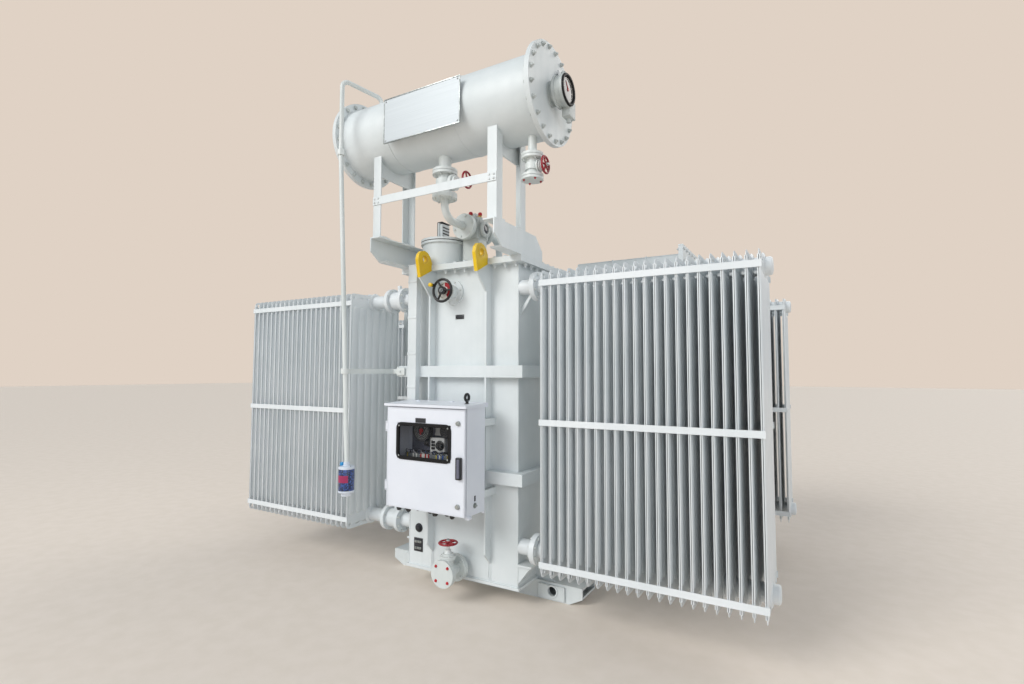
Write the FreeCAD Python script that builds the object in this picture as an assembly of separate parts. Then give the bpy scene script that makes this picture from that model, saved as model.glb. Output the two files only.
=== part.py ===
import FreeCAD, Part
import math
import os

# Oil-filled power transformer. Millimetres. Working axes: X right, Y back, Z up,
# tank front wall at Y = 0 and tank floor line at Z = 0. place() moves everything
# so that the stored origin is the middle of the overall box at floor level.

# Tank
TANK_HALF = 400.0
TANK_LEN = 1850.0
TANK_TOP = 1884.0
WALL = 8.0
RIM_OUT = 48.0
RIM_FRONT = 56.0
RIM_Z = 1864.0
COVER_T = 16.0
COVER_Z = TANK_TOP + COVER_T
FLOOR_T = 16.0
MID_Y = TANK_LEN / 2

# Stiffening
BAND_DEPTH = 60.0
BAND_H = 70.0
BAND_Z = (579.0, 1191.0)
BAND_T = 8.0
STIFF_X = 211.0
STIFF_T = 12.0

# Base
RAIL_Y = 205.0
RAIL_W = 200.0
RAIL_HALF = 708.0
RAIL_BOTTOM = -118.0
RAIL_T = 12.0
HAUL_X = 521.0
HAUL_Z = -62.0
HAUL_R = 27.0

# Radiators
FIN_COUNT = 22
FIN_PITCH = 50.0
FIN_W = 480.0
FIN_T = 9.0
FIN_Z = (165.0, 1765.0)
HEADER_R = 44.5
HEADER_Z = (222.0, 1722.0)
RIGHT_FIN_X = 650.0
LEFT_FIN_X = 860.0
RIGHT_FRONT_Y = -200.0
LEFT_FRONT_Y = -110.0
HEADER_OVER = 42.0
TIE_H = 32.0
TIE_T = 5.0
TIE_Z = (232.0, 960.0, 1695.0)
FLANGE_R = 85.0
FLANGE_T = 15.0
RIGHT_JOINT_X = 505.0
LEFT_TANK_JOINT_X = 575.0
LEFT_RAD_JOINT_X = 690.0

# Conservator
CONS_Y = -176.0
CONS_Z = 2720.0
CONS_R = 224.0
CONS_T = 6.0
CONS_FLANGE_R = 272.0
CONS_RIGHT = 692.0
CONS_LEFT = -675.0
CONS_FLANGE_T = 14.0

# Conservator stand
BEAM_OUT = 448.0
BEAM_W = 75.0
BEAM_TOP = 2045.0
BEAM_T = 8.0
LEG = 60.0
LEG_T = 7.0
LEG_FRONT_Y = -325.0
LEG_BACK_Y = -3.0

# Gas relay line
RELAY_Y = 8.0
RELAY_Z = 2136.0
RELAY_LEN = 226.0
PIPE_R = 23.0
SUMP_Z = 2330.0

# Cabinet
CAB_X = (-309.0, 252.0)
CAB_Y = (-300.0, -123.0)
CAB_Z = (440.0, 1023.0)
CAB_T = 4.0
DOOR_T = 14.0
DOOR_GAP = 6.0
HINGE_X = -317.0

# Working clearances
SHAFT_GAP = 0.05


def vec(x, y, z):
    return FreeCAD.Vector(x, y, z)


def box(x0, x1, y0, y1, z0, z1):
    return Part.makeBox(x1 - x0, y1 - y0, z1 - z0, vec(x0, y0, z0))


def rod(r, start, end):
    a = vec(*start)
    d = vec(*end) - a
    return Part.makeCylinder(r, d.Length, a, d)


def tube(r_out, r_in, start, end):
    return rod(r_out, start, end).cut(rod(r_in, start, end))


def prism_x(points, x0, x1):
    wire = Part.makePolygon([vec(x0, y, z) for y, z in points + points[:1]])
    return Part.Face(wire).extrude(vec(x1 - x0, 0, 0))


def prism_y(points, y0, y1):
    wire = Part.makePolygon([vec(x, y0, z) for x, z in points + points[:1]])
    return Part.Face(wire).extrude(vec(0, y1 - y0, 0))


def joined(shapes):
    first = shapes[0]
    return first.multiFuse(shapes[1:]).removeSplitter()


def group(shapes):
    return Part.makeCompound(shapes)


def flip_x(shape):
    return shape.mirror(vec(0, 0, 0), vec(1, 0, 0))


def flip_y(shape):
    return shape.mirror(vec(0, MID_Y, 0), vec(0, 1, 0))


def both_ends(shapes):
    return shapes + [flip_y(s) for s in shapes]


def swept(points, radius, bend):
    """A round pipe through points, with every corner rounded to the bend radius."""
    edges = []
    last = vec(*points[0])
    for i in range(1, len(points) - 1):
        corner = vec(*points[i])
        into = (corner - last).normalize()
        away = (vec(*points[i + 1]) - corner).normalize()
        half = into.getAngle(away) / 2
        cut = bend * math.tan(half)
        a = corner - into * cut
        b = corner + away * cut
        inward = (away - into).normalize()
        centre = corner + inward * (bend / math.cos(half))
        middle = centre - inward * bend
        edges.append(Part.makeLine(last, a))
        edges.append(Part.Arc(a, middle, b).toShape())
        last = b
    edges.append(Part.makeLine(last, vec(*points[-1])))
    path = Part.Wire(edges)
    start = vec(*points[0])
    direction = vec(*points[1]) - start
    circle = Part.Wire(Part.makeCircle(radius, start, direction))
    return path.makePipeShell([circle], True, False)


def wheel(centre, axis, radius, rim, hub, spokes, stem):
    """A spoked handwheel bored for its stem: torus rim, hub and bars, turning about axis."""
    c = vec(*centre)
    d = vec(*axis)
    parts = [Part.makeTorus(radius - rim, rim, c, d)]
    parts.append(Part.makeCylinder(hub, 3 * rim, c - d * (1.5 * rim), d))
    side = d.cross(vec(0, 0, 1)) if abs(d.z) < 0.5 else vec(1, 0, 0)
    for i in range(spokes):
        turn = FreeCAD.Rotation(d, 360.0 * i / spokes)
        out = turn.multVec(side)
        parts.append(Part.makeCylinder(rim * 0.8, radius - rim, c, out))
    bore = Part.makeCylinder(stem + SHAFT_GAP, 8 * rim, c - d * (4 * rim), d)
    return joined(parts).cut(bore)


# Tank -----------------------------------------------------------------------


def tank():
    half = TANK_HALF
    back = TANK_LEN
    rim = box(-half - RIM_OUT, half + RIM_OUT, -RIM_FRONT, back + RIM_FRONT, RIM_Z, TANK_TOP)
    rim = rim.cut(box(-half, half, 0, back, RIM_Z, TANK_TOP))
    cover = box(-half - RIM_OUT, half + RIM_OUT, -RIM_FRONT, back + RIM_FRONT, TANK_TOP, COVER_Z)
    side = box(half - WALL, half, WALL, back - WALL, 0, TANK_TOP)
    return {
        "tank_end_walls": group(both_ends([box(-half, half, 0, WALL, 0, TANK_TOP)])),
        "tank_side_walls": group([side, flip_x(side)]),
        "tank_floor": box(-half - 12, half + 12, -12, back + 12, -FLOOR_T, 0),
        "tank_rim": rim,
        "tank_cover": cover,
    }


def bands():
    out = TANK_HALF + BAND_DEPTH
    ends = []
    sides = []
    for z in BAND_Z:
        bar = box(-out, out, -BAND_DEPTH, 0, z, z + BAND_H)
        inner = box(-out + BAND_T, out - BAND_T, BAND_T - BAND_DEPTH, 0,
                    z + BAND_T, z + BAND_H - BAND_T)
        ends.append(bar.cut(inner))
        side = box(TANK_HALF, out, 0, TANK_LEN, z, z + BAND_H)
        hollow = box(TANK_HALF, out - BAND_T, 0, TANK_LEN, z + BAND_T, z + BAND_H - BAND_T)
        side = side.cut(hollow)
        sides += [side, flip_x(side)]
    return {"end_bands": group(both_ends(ends)), "side_bands": group(sides)}


def stiffeners():
    profile = [(0, 100), (-60, 165), (-60, 1700), (-165, 1806), (-RIM_FRONT, RIM_Z), (0, RIM_Z)]
    lug_profile = [(-165, 1806), (-190, 1915), (-180, 1950), (-158, 1971), (-130, 1978),
                   (-100, 1971), (-74, 1950), (-RIM_FRONT, 1915), (-RIM_FRONT, RIM_Z)]
    plates = []
    lugs = []
    for x in (-STIFF_X, STIFF_X):
        plate = prism_x(profile, x - STIFF_T / 2, x + STIFF_T / 2)
        for z in BAND_Z:
            plate = plate.cut(box(-500, 500, -BAND_DEPTH, 0, z, z + BAND_H))
        plates += plate.Solids
        lug = prism_x(lug_profile, x - 12, x + 12)
        lugs.append(lug.cut(rod(22, (x - 30, -125, 1925), (x + 30, -125, 1925))))
    return {
        "wall_stiffeners": group(both_ends(plates) + side_ribs()),
        "lifting_lugs": group(both_ends(lugs)),
    }


def side_ribs():
    ribs = []
    for y in (430.0, 1420.0):
        for z0, z1 in ((0, 579), (649, 1191), (1261, RIM_Z)):
            rib = box(TANK_HALF, TANK_HALF + 50, y - 6, y + 6, z0, z1)
            ribs += [rib, flip_x(rib)]
    return ribs


def base():
    top = -FLOOR_T
    end_z = -78
    profile = [(-RAIL_HALF, top), (-RAIL_HALF, end_z), (-RAIL_HALF + 80, RAIL_BOTTOM),
               (RAIL_HALF - 80, RAIL_BOTTOM), (RAIL_HALF, end_z), (RAIL_HALF, top)]
    t = RAIL_T
    inner = [(-RAIL_HALF, top - t), (-RAIL_HALF, end_z + t), (-RAIL_HALF + 80, RAIL_BOTTOM + t),
             (RAIL_HALF - 80, RAIL_BOTTOM + t), (RAIL_HALF, end_z + t), (RAIL_HALF, top - t)]
    rail = prism_y(profile, RAIL_Y, RAIL_Y + RAIL_W)
    rail = rail.cut(prism_y(inner, RAIL_Y + t, RAIL_Y + RAIL_W - t))
    pads = [rail]
    for s in (-1, 1):
        x0, x1 = sorted((s * 430.0, s * 600.0))
        pads.append(box(x0, x1, RAIL_Y - 10, RAIL_Y, -108, -28))
    rail = joined(pads)
    for s in (-1, 1):
        x = s * HAUL_X
        rail = rail.cut(rod(HAUL_R, (x, RAIL_Y - 20, HAUL_Z), (x, RAIL_Y + 20, HAUL_Z)))
    parts = [rail]
    for y in (RAIL_Y + 30, RAIL_Y + RAIL_W - 30):
        points = [(412, top), (530, top), (412, 60)]
        gusset = prism_y(points, y - 5, y + 5)
        gusset = gusset.fuse(box(TANK_HALF, 412, y - 5, y + 5, 0, 60))
        parts += [gusset, flip_x(gusset)]
    return {"base_rails": group(both_ends([joined(parts)]))}


def lower_brackets():
    """Angle brackets under the lower radiator stubs, welded to the side walls."""
    parts = []
    for y in (40.0, 130.0):
        side = 1 if y == 40.0 else -1
        top = box(TANK_HALF, 490, y - 50, y + 50, 120, 132)
        web = prism_y([(TANK_HALF, 20), (TANK_HALF, 120), (480, 120)], y - 40, y - 30)
        web2 = prism_y([(TANK_HALF, 20), (TANK_HALF, 120), (480, 120)], y + 30, y + 40)
        bracket = joined([top, web, web2])
        parts.append(bracket if side > 0 else flip_x(bracket))
    return parts


# Radiators ------------------------------------------------------------------


def radiator(fin_x, front_y):
    """Plate radiator on the right side: plates fused on two header pipes."""
    header_y = front_y + FIN_W / 2
    end_x = fin_x + FIN_PITCH * (FIN_COUNT - 1) + HEADER_OVER
    parts = []
    for i in range(FIN_COUNT):
        x = fin_x + i * FIN_PITCH
        c = 22.0
        y0, y1 = front_y, front_y + FIN_W
        z0, z1 = FIN_Z
        points = [(y0 + c, z0), (y1 - c, z0), (y1, z0 + c), (y1, z1 - c),
                  (y1 - c, z1), (y0 + c, z1), (y0, z1 - c), (y0, z0 + c)]
        parts.append(prism_x(points, x - FIN_T / 2, x + FIN_T / 2))
    for z in HEADER_Z:
        parts.append(rod(HEADER_R, (fin_x, header_y, z), (end_x, header_y, z)))
    return joined(parts)


def header_necks(fin_x, joint_x, front_y):
    """Header pipe and flange between a radiator's first plate and its pipe joint."""
    y = front_y + FIN_W / 2
    face = fin_x - FIN_T / 2
    necks = []
    for z in HEADER_Z:
        neck = tube(HEADER_R, HEADER_R - 5, (joint_x, y, z), (face, y, z))
        collar = tube(FLANGE_R, HEADER_R - 5, (joint_x, y, z), (joint_x + FLANGE_T, y, z))
        necks.append(joined([neck, collar]))
    return necks


def tie_bars(fin_x, front_y):
    x0 = fin_x - 12
    x1 = fin_x + FIN_PITCH * (FIN_COUNT - 1) + 12
    bars = []
    for z in TIE_Z:
        z0, z1 = z - TIE_H / 2, z + TIE_H / 2
        bars.append(box(x0, x1, front_y - TIE_T, front_y, z0, z1))
        bars.append(box(x0, x1, front_y + FIN_W, front_y + FIN_W + TIE_T, z0, z1))
    return bars


def radiators():
    right = radiator(RIGHT_FIN_X, RIGHT_FRONT_Y)
    left = flip_x(radiator(LEFT_FIN_X, LEFT_FRONT_Y))
    necks = header_necks(RIGHT_FIN_X, RIGHT_JOINT_X, RIGHT_FRONT_Y)
    necks += [flip_x(s) for s in header_necks(LEFT_FIN_X, LEFT_RAD_JOINT_X, LEFT_FRONT_Y)]
    bars_r = tie_bars(RIGHT_FIN_X, RIGHT_FRONT_Y)
    bars_l = [flip_x(b) for b in tie_bars(LEFT_FIN_X, LEFT_FRONT_Y)]
    return {
        "radiator_right_front": right,
        "radiator_right_rear": flip_y(right),
        "radiator_left_front": left,
        "radiator_left_rear": flip_y(left),
        "radiator_necks": group(both_ends(necks)),
        "radiator_tie_bars": group(both_ends(bars_r + bars_l)),
    }


def pipe_stub(joint_x, header_y, z):
    pipe = tube(HEADER_R, HEADER_R - 5, (TANK_HALF, header_y, z), (joint_x, header_y, z))
    collar = tube(FLANGE_R, HEADER_R - 5, (joint_x - FLANGE_T, header_y, z), (joint_x, header_y, z))
    return joined([pipe, collar])


def butterfly_valve(header_y, z):
    """Wafer valve between the left tank flange and the radiator flange."""
    x0, x1 = -LEFT_RAD_JOINT_X, -LEFT_TANK_JOINT_X
    mid = (x0 + x1) / 2
    parts = [rod(62, (x0, header_y, z), (x1, header_y, z))]
    parts.append(rod(FLANGE_R, (x0, header_y, z), (x0 + 12, header_y, z)))
    parts.append(rod(FLANGE_R, (x1 - 12, header_y, z), (x1, header_y, z)))
    parts.append(rod(14, (mid, header_y, z), (mid, header_y, z + 92)))
    parts.append(box(mid - 11, mid + 11, header_y - 11, header_y + 11, z + 92, z + 106))
    return joined(parts)


def stub_strap(joint_x, header_y):
    """Flat brace from the wall up to the underside of an upper stub, behind its flange."""
    end = joint_x - FLANGE_T - 4
    z = HEADER_Z[1] - 30
    strap = prism_y([(TANK_HALF, 1560), (TANK_HALF, 1600), (end - 18, z), (end, z)],
                    header_y - 4, header_y + 4)
    return strap.cut(rod(HEADER_R, (TANK_HALF, header_y, HEADER_Z[1]),
                         (joint_x, header_y, HEADER_Z[1])))


def connections():
    right_y = RIGHT_FRONT_Y + FIN_W / 2
    left_y = LEFT_FRONT_Y + FIN_W / 2
    right = [pipe_stub(RIGHT_JOINT_X, right_y, z) for z in HEADER_Z]
    left = [flip_x(pipe_stub(LEFT_TANK_JOINT_X, left_y, z)) for z in HEADER_Z]
    valves = [butterfly_valve(left_y, z) for z in HEADER_Z]
    straps = [
        stub_strap(RIGHT_JOINT_X, right_y),
        flip_x(stub_strap(LEFT_TANK_JOINT_X, left_y)),
    ]
    return {
        "radiator_stubs": group(both_ends(right + left)),
        "radiator_valves": group(both_ends(valves)),
        "stub_brackets": group(both_ends(straps + lower_brackets())),
    }


# Cable side trunks ------------------------------------------------------------


def trunk_collar(end, y0, y1, z0, top):
    """Bolting flange around the outer mouth of a trunk."""
    outer = box(end - 15, end, y0 - 50, y1 + 50, z0 - 50, top + 50)
    return outer.cut(box(end - 15, end, y0 + 6, y1 - 6, z0 + 6, top - 6))


def side_trunks():
    """Rectangular bushing trunks between the radiators, each closed by a bolted blank."""
    y0, y1 = 610.0, 1240.0
    z0, top = 1270.0, 1950.0
    end = 1210.0
    riser = 517.0
    shell = box(TANK_HALF, end, y0, y1, z0, top)
    shell = shell.cut(box(TANK_HALF, end, y0 + 6, y1 - 6, z0 + 6, top - 6))
    shell = shell.cut(box(TANK_HALF, riser, y0, y1, RIM_Z - 6, top))
    shelf = box(TANK_HALF, riser, y0, y1, RIM_Z - 12, RIM_Z - 6)
    closer = box(riser, riser + 6, y0, y1, RIM_Z - 12, top)
    right = joined([shell, shelf, closer, trunk_collar(end, y0, y1, z0, top)])
    blank = box(end, end + 12, y0 - 50, y1 + 50, z0 - 50, top + 50)
    ly0, ly1 = 550.0, 1300.0
    lz0, lz1 = 1400.0, 1660.0
    lend = 905.0
    left = box(TANK_HALF, lend, ly0, ly1, lz0, lz1)
    left = left.cut(box(TANK_HALF, lend, ly0 + 6, ly1 - 6, lz0 + 6, lz1 - 6))
    left = flip_x(joined([left, trunk_collar(lend, ly0, ly1, lz0, lz1)]))
    left_blank = box(-lend - 12, -lend, ly0 - 50, ly1 + 50, lz0 - 50, lz1 + 50)
    return {
        "side_trunks": group([right, left]),
        "trunk_blanks": group([blank, left_blank]),
    }


# Conservator ------------------------------------------------------------------


def conservator():
    y, z = CONS_Y, CONS_Z
    right_face = CONS_RIGHT - CONS_FLANGE_T
    left_face = CONS_LEFT + CONS_FLANGE_T
    shell = tube(CONS_R, CONS_R - CONS_T, (CONS_LEFT, y, z), (CONS_RIGHT, y, z))
    ring_r = tube(CONS_FLANGE_R, CONS_R - CONS_T, (right_face, y, z), (CONS_RIGHT, y, z))
    ring_l = tube(CONS_FLANGE_R, CONS_R - CONS_T, (CONS_LEFT, y, z), (left_face, y, z))
    shell = joined([shell, ring_r, ring_l])
    cover_r = rod(CONS_FLANGE_R, (CONS_RIGHT, y, z), (CONS_RIGHT + 12, y, z))
    cover_l = rod(CONS_FLANGE_R, (CONS_LEFT - 12, y, z), (CONS_LEFT, y, z))
    gx = CONS_RIGHT + 12
    gauge = joined([
        rod(52, (gx, y, z), (gx + 34, y, z)),
        rod(86, (gx + 34, y, z), (gx + 46, y, z)),
        rod(78, (gx + 46, y, z), (gx + 92, y, z)),
        box(gx + 46, gx + 88, y + 30, y + 110, z - 118, z - 30),
    ])
    plate = box(-285, 265, -415, -411, 2570, 2836)
    arms = []
    for x in (-215.0, 195.0):
        arm = box(x - 15, x + 15, -411, -370, 2690, 2720)
        arms.append(arm.cut(rod(CONS_R, (x - 20, y, z), (x + 20, y, z))))
    return {
        "conservator_shell": shell,
        "conservator_covers": group([cover_r, cover_l]),
        "oil_level_gauge": gauge,
        "sign_plate": joined([plate] + arms),
    }


def saddle_frame():
    """Right-hand stand: two angle legs and a web cut to the shell."""
    x1 = BEAM_OUT
    x0 = x1 - LEG
    f, b = LEG_FRONT_Y, LEG_BACK_Y
    z0 = BEAM_TOP
    parts = [
        box(x0, x1, f, f + LEG_T, z0, 2640),
        box(x1 - LEG_T, x1, f, f + LEG, z0, 2640),
        box(x0, x1, b - LEG_T, b, z0, 2640),
        box(x1 - LEG_T, x1, b - LEG, b, z0, 2640),
        box(x0 + 20, x0 + 30, f + LEG_T, b - LEG_T, 2430, 2640),
        box(x0, x1, f, f + 90, z0, z0 + 10),
        box(x0, x1, b - 90, b, z0, z0 + 10),
    ]
    frame = joined(parts)
    return frame.cut(rod(CONS_R, (0, CONS_Y, CONS_Z), (600, CONS_Y, CONS_Z)))


def beam():
    profile = [(-347, 1959), (-347, BEAM_TOP), (128, BEAM_TOP), (215, 1965), (215, COVER_Z),
               (-264, COVER_Z)]
    bar = prism_x(profile, BEAM_OUT - BEAM_W, BEAM_OUT)
    inner = box(BEAM_OUT - BEAM_W, BEAM_OUT - BEAM_T, -400, 300,
                COVER_Z + BEAM_T, BEAM_TOP - BEAM_T)
    return bar.cut(inner)


def stand():
    frame = saddle_frame()
    bar = beam()
    tie = box(-BEAM_OUT, BEAM_OUT, LEG_FRONT_Y - 6, LEG_FRONT_Y, 2248, 2298)
    return {
        "saddle_frames": group([frame, flip_x(frame)]),
        "stand_beams": group([bar, flip_x(bar)]),
        "stand_cross_bar": tie,
    }


# Oil pipework -------------------------------------------------------------------


def outlet_valve():
    """Conservator outlet: stub, gate valve and lower flange on one vertical line."""
    x, y = 7.0, -200.0
    neck = rod(38, (x, y, 2410), (x, y, 2540))
    neck = neck.cut(rod(CONS_R, (-90, CONS_Y, CONS_Z), (90, CONS_Y, CONS_Z)))
    return joined([
        neck,
        rod(74, (x, y, 2412), (x, y, 2427)),
        rod(74, (x, y, 2394), (x, y, 2410)),
        rod(42, (x, y, 2280), (x, y, 2410)),
        rod(54, (x, y, 2318), (x, y, 2366)),
        rod(36, (x, y, 2340), (x + 92, y, 2340)),
        rod(48, (x + 62, y, 2340), (x + 74, y, 2340)),
        rod(11, (x + 92, y, 2340), (x + 174, y, 2340)),
        rod(74, (x, y, 2266), (x, y, 2282)),
    ])


def relay_pipes():
    """Bent pipe from the valve to the relay, and from the relay down to the cover."""
    x, y, z = 7.0, -200.0, RELAY_Z
    upper = joined([
        rod(74, (x, y, 2250), (x, y, 2266)),
        swept([(x, y, 2255), (x, y, z), (x, RELAY_Y - 10, z)], PIPE_R, 90),
        rod(80, (x, RELAY_Y - 16, z), (x, RELAY_Y, z)),
    ])
    back = RELAY_Y + RELAY_LEN
    lower = joined([
        rod(68, (x, back, z), (x, back + 16, z)),
        swept([(x, back + 10, z), (x, back + 190, z), (x, back + 190, COVER_Z + 5)], PIPE_R, 90),
        rod(70, (x, back + 190, COVER_Z), (x, back + 190, COVER_Z + 18)),
    ])
    return {"relay_pipes": group([upper, lower])}


def gas_relay():
    """Cast relay body between two flanges, on a sheet pedestal."""
    x, y, z = 7.0, RELAY_Y, RELAY_Z
    mid = y + RELAY_LEN / 2
    return joined([
        rod(80, (x, y, z), (x, y + 16, z)),
        rod(44, (x, y, z), (x, y + RELAY_LEN, z)),
        box(x - 62, x + 62, mid - 62, mid + 62, z - 66, z + 62),
        rod(44, (x - 80, mid, z), (x + 80, mid, z)),
        rod(58, (x, mid, z + 55), (x, mid, z + 78)),
        rod(9, (x - 20, mid - 18, z + 70), (x - 20, mid - 18, z + 104)),
        rod(9, (x + 26, mid + 22, z + 70), (x + 26, mid + 22, z + 104)),
        rod(68, (x, y + RELAY_LEN - 16, z), (x, y + RELAY_LEN, z)),
        box(x - 58, x + 58, mid - 45, mid + 45, COVER_Z, z - 60),
    ])


def sump_valve():
    """Small isolating valve hung below the right end of the shell."""
    x, y, z = 598.0, -200.0, SUMP_Z
    neck = rod(24, (x, y, z + 50), (x, y, 2560))
    neck = neck.cut(rod(CONS_R, (500, CONS_Y, CONS_Z), (680, CONS_Y, CONS_Z)))
    return joined([
        neck,
        rod(60, (x, y, z + 60), (x, y, z + 74)),
        rod(60, (x, y, z + 44), (x, y, z + 58)),
        rod(33, (x, y, z - 44), (x, y, z + 60)),
        rod(40, (x, y, z - 18), (x, y, z + 18)),
        rod(26, (x, y, z), (x + 48, y, z)),
        rod(36, (x + 36, y, z), (x + 44, y, z)),
        rod(9, (x + 48, y, z), (x + 94, y, z)),
        rod(60, (x, y, z - 56), (x, y, z - 42)),
        rod(44, (x, y, z - 58), (x, y, z - 56)),
        rod(60, (x, y, z - 72), (x, y, z - 58)),
    ])


def cover_fittings():
    """Round turret with a gasketed lid, and the hooded vent standing on it."""
    x, y = -215.0, 92.0
    turret = joined([
        rod(140, (x, y, COVER_Z), (x, y, 2062)),
        rod(152, (x, y, 2050), (x, y, 2064)),
        rod(146, (x, y, 2064), (x, y, 2069)),
        rod(152, (x, y, 2069), (x, y, 2083)),
    ])
    vent = joined([
        rod(44, (x - 5, y + 10, 2083), (x - 5, y + 10, 2092)),
        box(x - 24, x - 12, y - 42, y + 46, 2092, 2206),
        box(x - 12, x + 10, y - 36, y + 40, 2092, 2196),
    ])
    return {"inspection_turret": turret, "pressure_vent": vent}


def breather():
    """Drop pipe from the top of the shell, its stay, and the drying cup below."""
    x, y = -560.0, -490.0
    foot = -456.0
    pipe = swept([(-467, -250, 2900), (-467, -250, 2968), (x, y, 3003), (x, y, 2548),
                  (foot, y, 700)], 13.5, 38)
    pipe = pipe.cut(rod(CONS_R, (-560, CONS_Y, CONS_Z), (-370, CONS_Y, CONS_Z)))
    pipe = joined([pipe, rod(20, (x, y, 2535), (x, y, 2561))])
    stay = joined([
        box(-519, -470, -56, -50, 1211, 1241),
        box(-470, -460, -66, -10, 1196, 1256),
        box(-519, -513, -475, -50, 1211, 1241),
        rod(24, (-486, y, 1211), (-484.3, y, 1241)),
        box(-519, -486, -493, -472, 1211, 1241),
    ])
    stay = stay.cut(rod(13.5, (x, y, 2548), (foot, y, 700)))
    cup = joined([
        rod(18, (foot, y, 684), (foot, y, 706)),
        rod(46, (foot, y, 664), (foot, y, 684)),
        rod(40, (foot, y, 554), (foot, y, 664)),
        rod(46, (foot, y, 530), (foot, y, 554)),
        rod(30, (foot, y, 510), (foot, y, 530)),
    ]).cut(rod(13.5, (x, y, 2548), (foot, y, 700)))
    return {"breather_pipe": pipe, "breather_stay": stay, "breather": cup}


# Front fittings -----------------------------------------------------------------


def cabinet():
    x0, x1 = CAB_X
    y0, y1 = CAB_Y
    z0, z1 = CAB_Z
    t = CAB_T
    shell = box(x0, x1, y0, y1, z0, z1)
    shell = shell.cut(box(x0 + t, x1 - t, y0, y1 - t, z0 + t, z1 - t))
    lip = box(x0, x1, y0, y0 + 16, z0, z1)
    lip = lip.cut(box(x0 + 34, x1 - 34, y0, y0 + 16, z0 + 34, z1 - 34))
    shell = joined([shell, lip])
    roof = prism_x([(y0 - 34, z1), (y0 - 34, z1 + 14), (y1 + 10, z1 + 26), (y1 + 10, z1)],
                   x0 - 14, x1 + 14)
    eye = Part.makeTorus(20, 6, vec(190, -215, z1 + 56), vec(1, 0, 0))
    shank = rod(8, (190, -215, z1 + 18), (190, -215, z1 + 40))
    d0 = y0 - DOOR_GAP - DOOR_T
    d1 = y0 - DOOR_GAP
    door = box(x0 + 2, x1 - 2, d0, d1, z0 + 2, z1 - 6)
    door = door.cut(box(x0 + 80, x0 + 465, d0, d1, z0 + 283, z0 + 488))
    glass = box(x0 + 80, x0 + 465, d0 + 5, d0 + 9, z0 + 283, z0 + 488)
    handle = box(x1 - 46, x1 - 20, d0 - 22, d0, z0 + 205, z0 + 318)
    locks = [rod(11, (x1 - 44, d0, z), (x1 - 44, d0 - 12, z)) for z in (z0 + 56, z0 + 502)]
    pin_y = d0 + DOOR_T / 2
    barrels = []
    lugs = []
    bores = []
    for z in (z0 + 90, z1 - 150):
        barrels.append(rod(8, (HINGE_X, pin_y, z + 10), (HINGE_X, pin_y, z + 50)))
        barrels.append(box(HINGE_X, x0 + 12, d0, d0 + 5, z + 10, z + 50))
        bores.append(rod(4 + SHAFT_GAP, (HINGE_X, pin_y, z), (HINGE_X, pin_y, z + 60)))
        lugs.append(rod(4, (HINGE_X, pin_y, z), (HINGE_X, pin_y, z + 60)))
        for low in (z, z + 52):
            lugs.append(rod(8, (HINGE_X, pin_y, low), (HINGE_X, pin_y, low + 8)))
            lugs.append(box(HINGE_X - 8, x0, pin_y, y0 + 20, low, low + 8))
    shell = joined([shell] + lugs)
    door = joined([door, handle] + locks + barrels)
    for bore in bores:
        door = door.cut(bore)
    inside = joined([
        box(x0 + 60, x1 - 60, y1 - 40, y1 - t, z0 + 60, z1 - 60),
        rod(62, (-120, y1 - 40, 880), (-120, y1 - 110, 880)),
        rod(38, (40, y1 - 40, 880), (40, y1 - 90, 880)),
        box(-230, 70, y1 - 90, y1 - 40, 560, 620),
        box(-230, 70, y1 - 100, y1 - 40, 660, 730),
    ])
    brackets = []
    for z in (CAB_Z[0] + 70, CAB_Z[1] - 110):
        for x in (-249.0, 225.0):
            brackets.append(box(x, x + 24, y1, 0, z, z + 40))
    return {
        "cabinet_shell": shell,
        "cabinet_roof": joined([roof, shank, eye]),
        "cabinet_door": door,
        "cabinet_glass": glass,
        "cabinet_instruments": inside,
        "cabinet_brackets": group(brackets),
    }


def cable_tray():
    """Cable trunking down the front, clipped on the bands, open towards the tank."""
    tray = box(-352, -284, -100, -BAND_DEPTH, 760, 1905)
    tray = tray.cut(box(-348, -288, -96, -BAND_DEPTH, 764, 1901))
    return {"cable_duct": tray}


def tap_changer():
    x, z = -72.0, 1722.0
    boss = joined([
        rod(80, (x, 0, z), (x, -12, z)),
        rod(46, (x, -12, z), (x, -60, z)),
        rod(12, (x, -60, z), (x, -128, z)),
    ])
    hand = wheel((x, -112, z), (0, 1, 0), 76, 8, 24, 3, 12)
    knob = rod(10, (x - 58, -112, z + 33), (x - 58, -152, z + 33))
    return {"tap_boss": boss, "tap_wheel": joined([hand, knob])}


def wheels():
    lift = wheel((168, -200, 2340), (1, 0, 0), 52, 6, 17, 5, 11)
    sump = wheel((676, -200, SUMP_Z), (1, 0, 0), 50, 6, 15, 5, 9)
    drain = wheel((8, -135, 226), (0, 0, 1), 58, 6, 16, 5, 10)
    return {"outlet_wheel": lift, "sump_wheel": sump, "drain_wheel": drain}


def drain_valve():
    """Bottom valve on the front wall, with a blind flange and an upright spindle."""
    x, z = 8.0, 62.0
    return joined([
        rod(34, (x, 0, z), (x, -180, z)),
        rod(78, (x, -40, z), (x, -54, z)),
        rod(78, (x, -56, z), (x, -70, z)),
        rod(48, (x, -112, z), (x, -150, z)),
        rod(78, (x, -164, z), (x, -178, z)),
        rod(78, (x, -180, z), (x, -194, z)),
        rod(32, (x, -135, z), (x, -135, z + 104)),
        rod(44, (x, -135, z + 72), (x, -135, z + 84)),
        rod(10, (x, -135, z + 104), (x, -135, z + 180)),
    ])


# Assembly ------------------------------------------------------------------------


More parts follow.
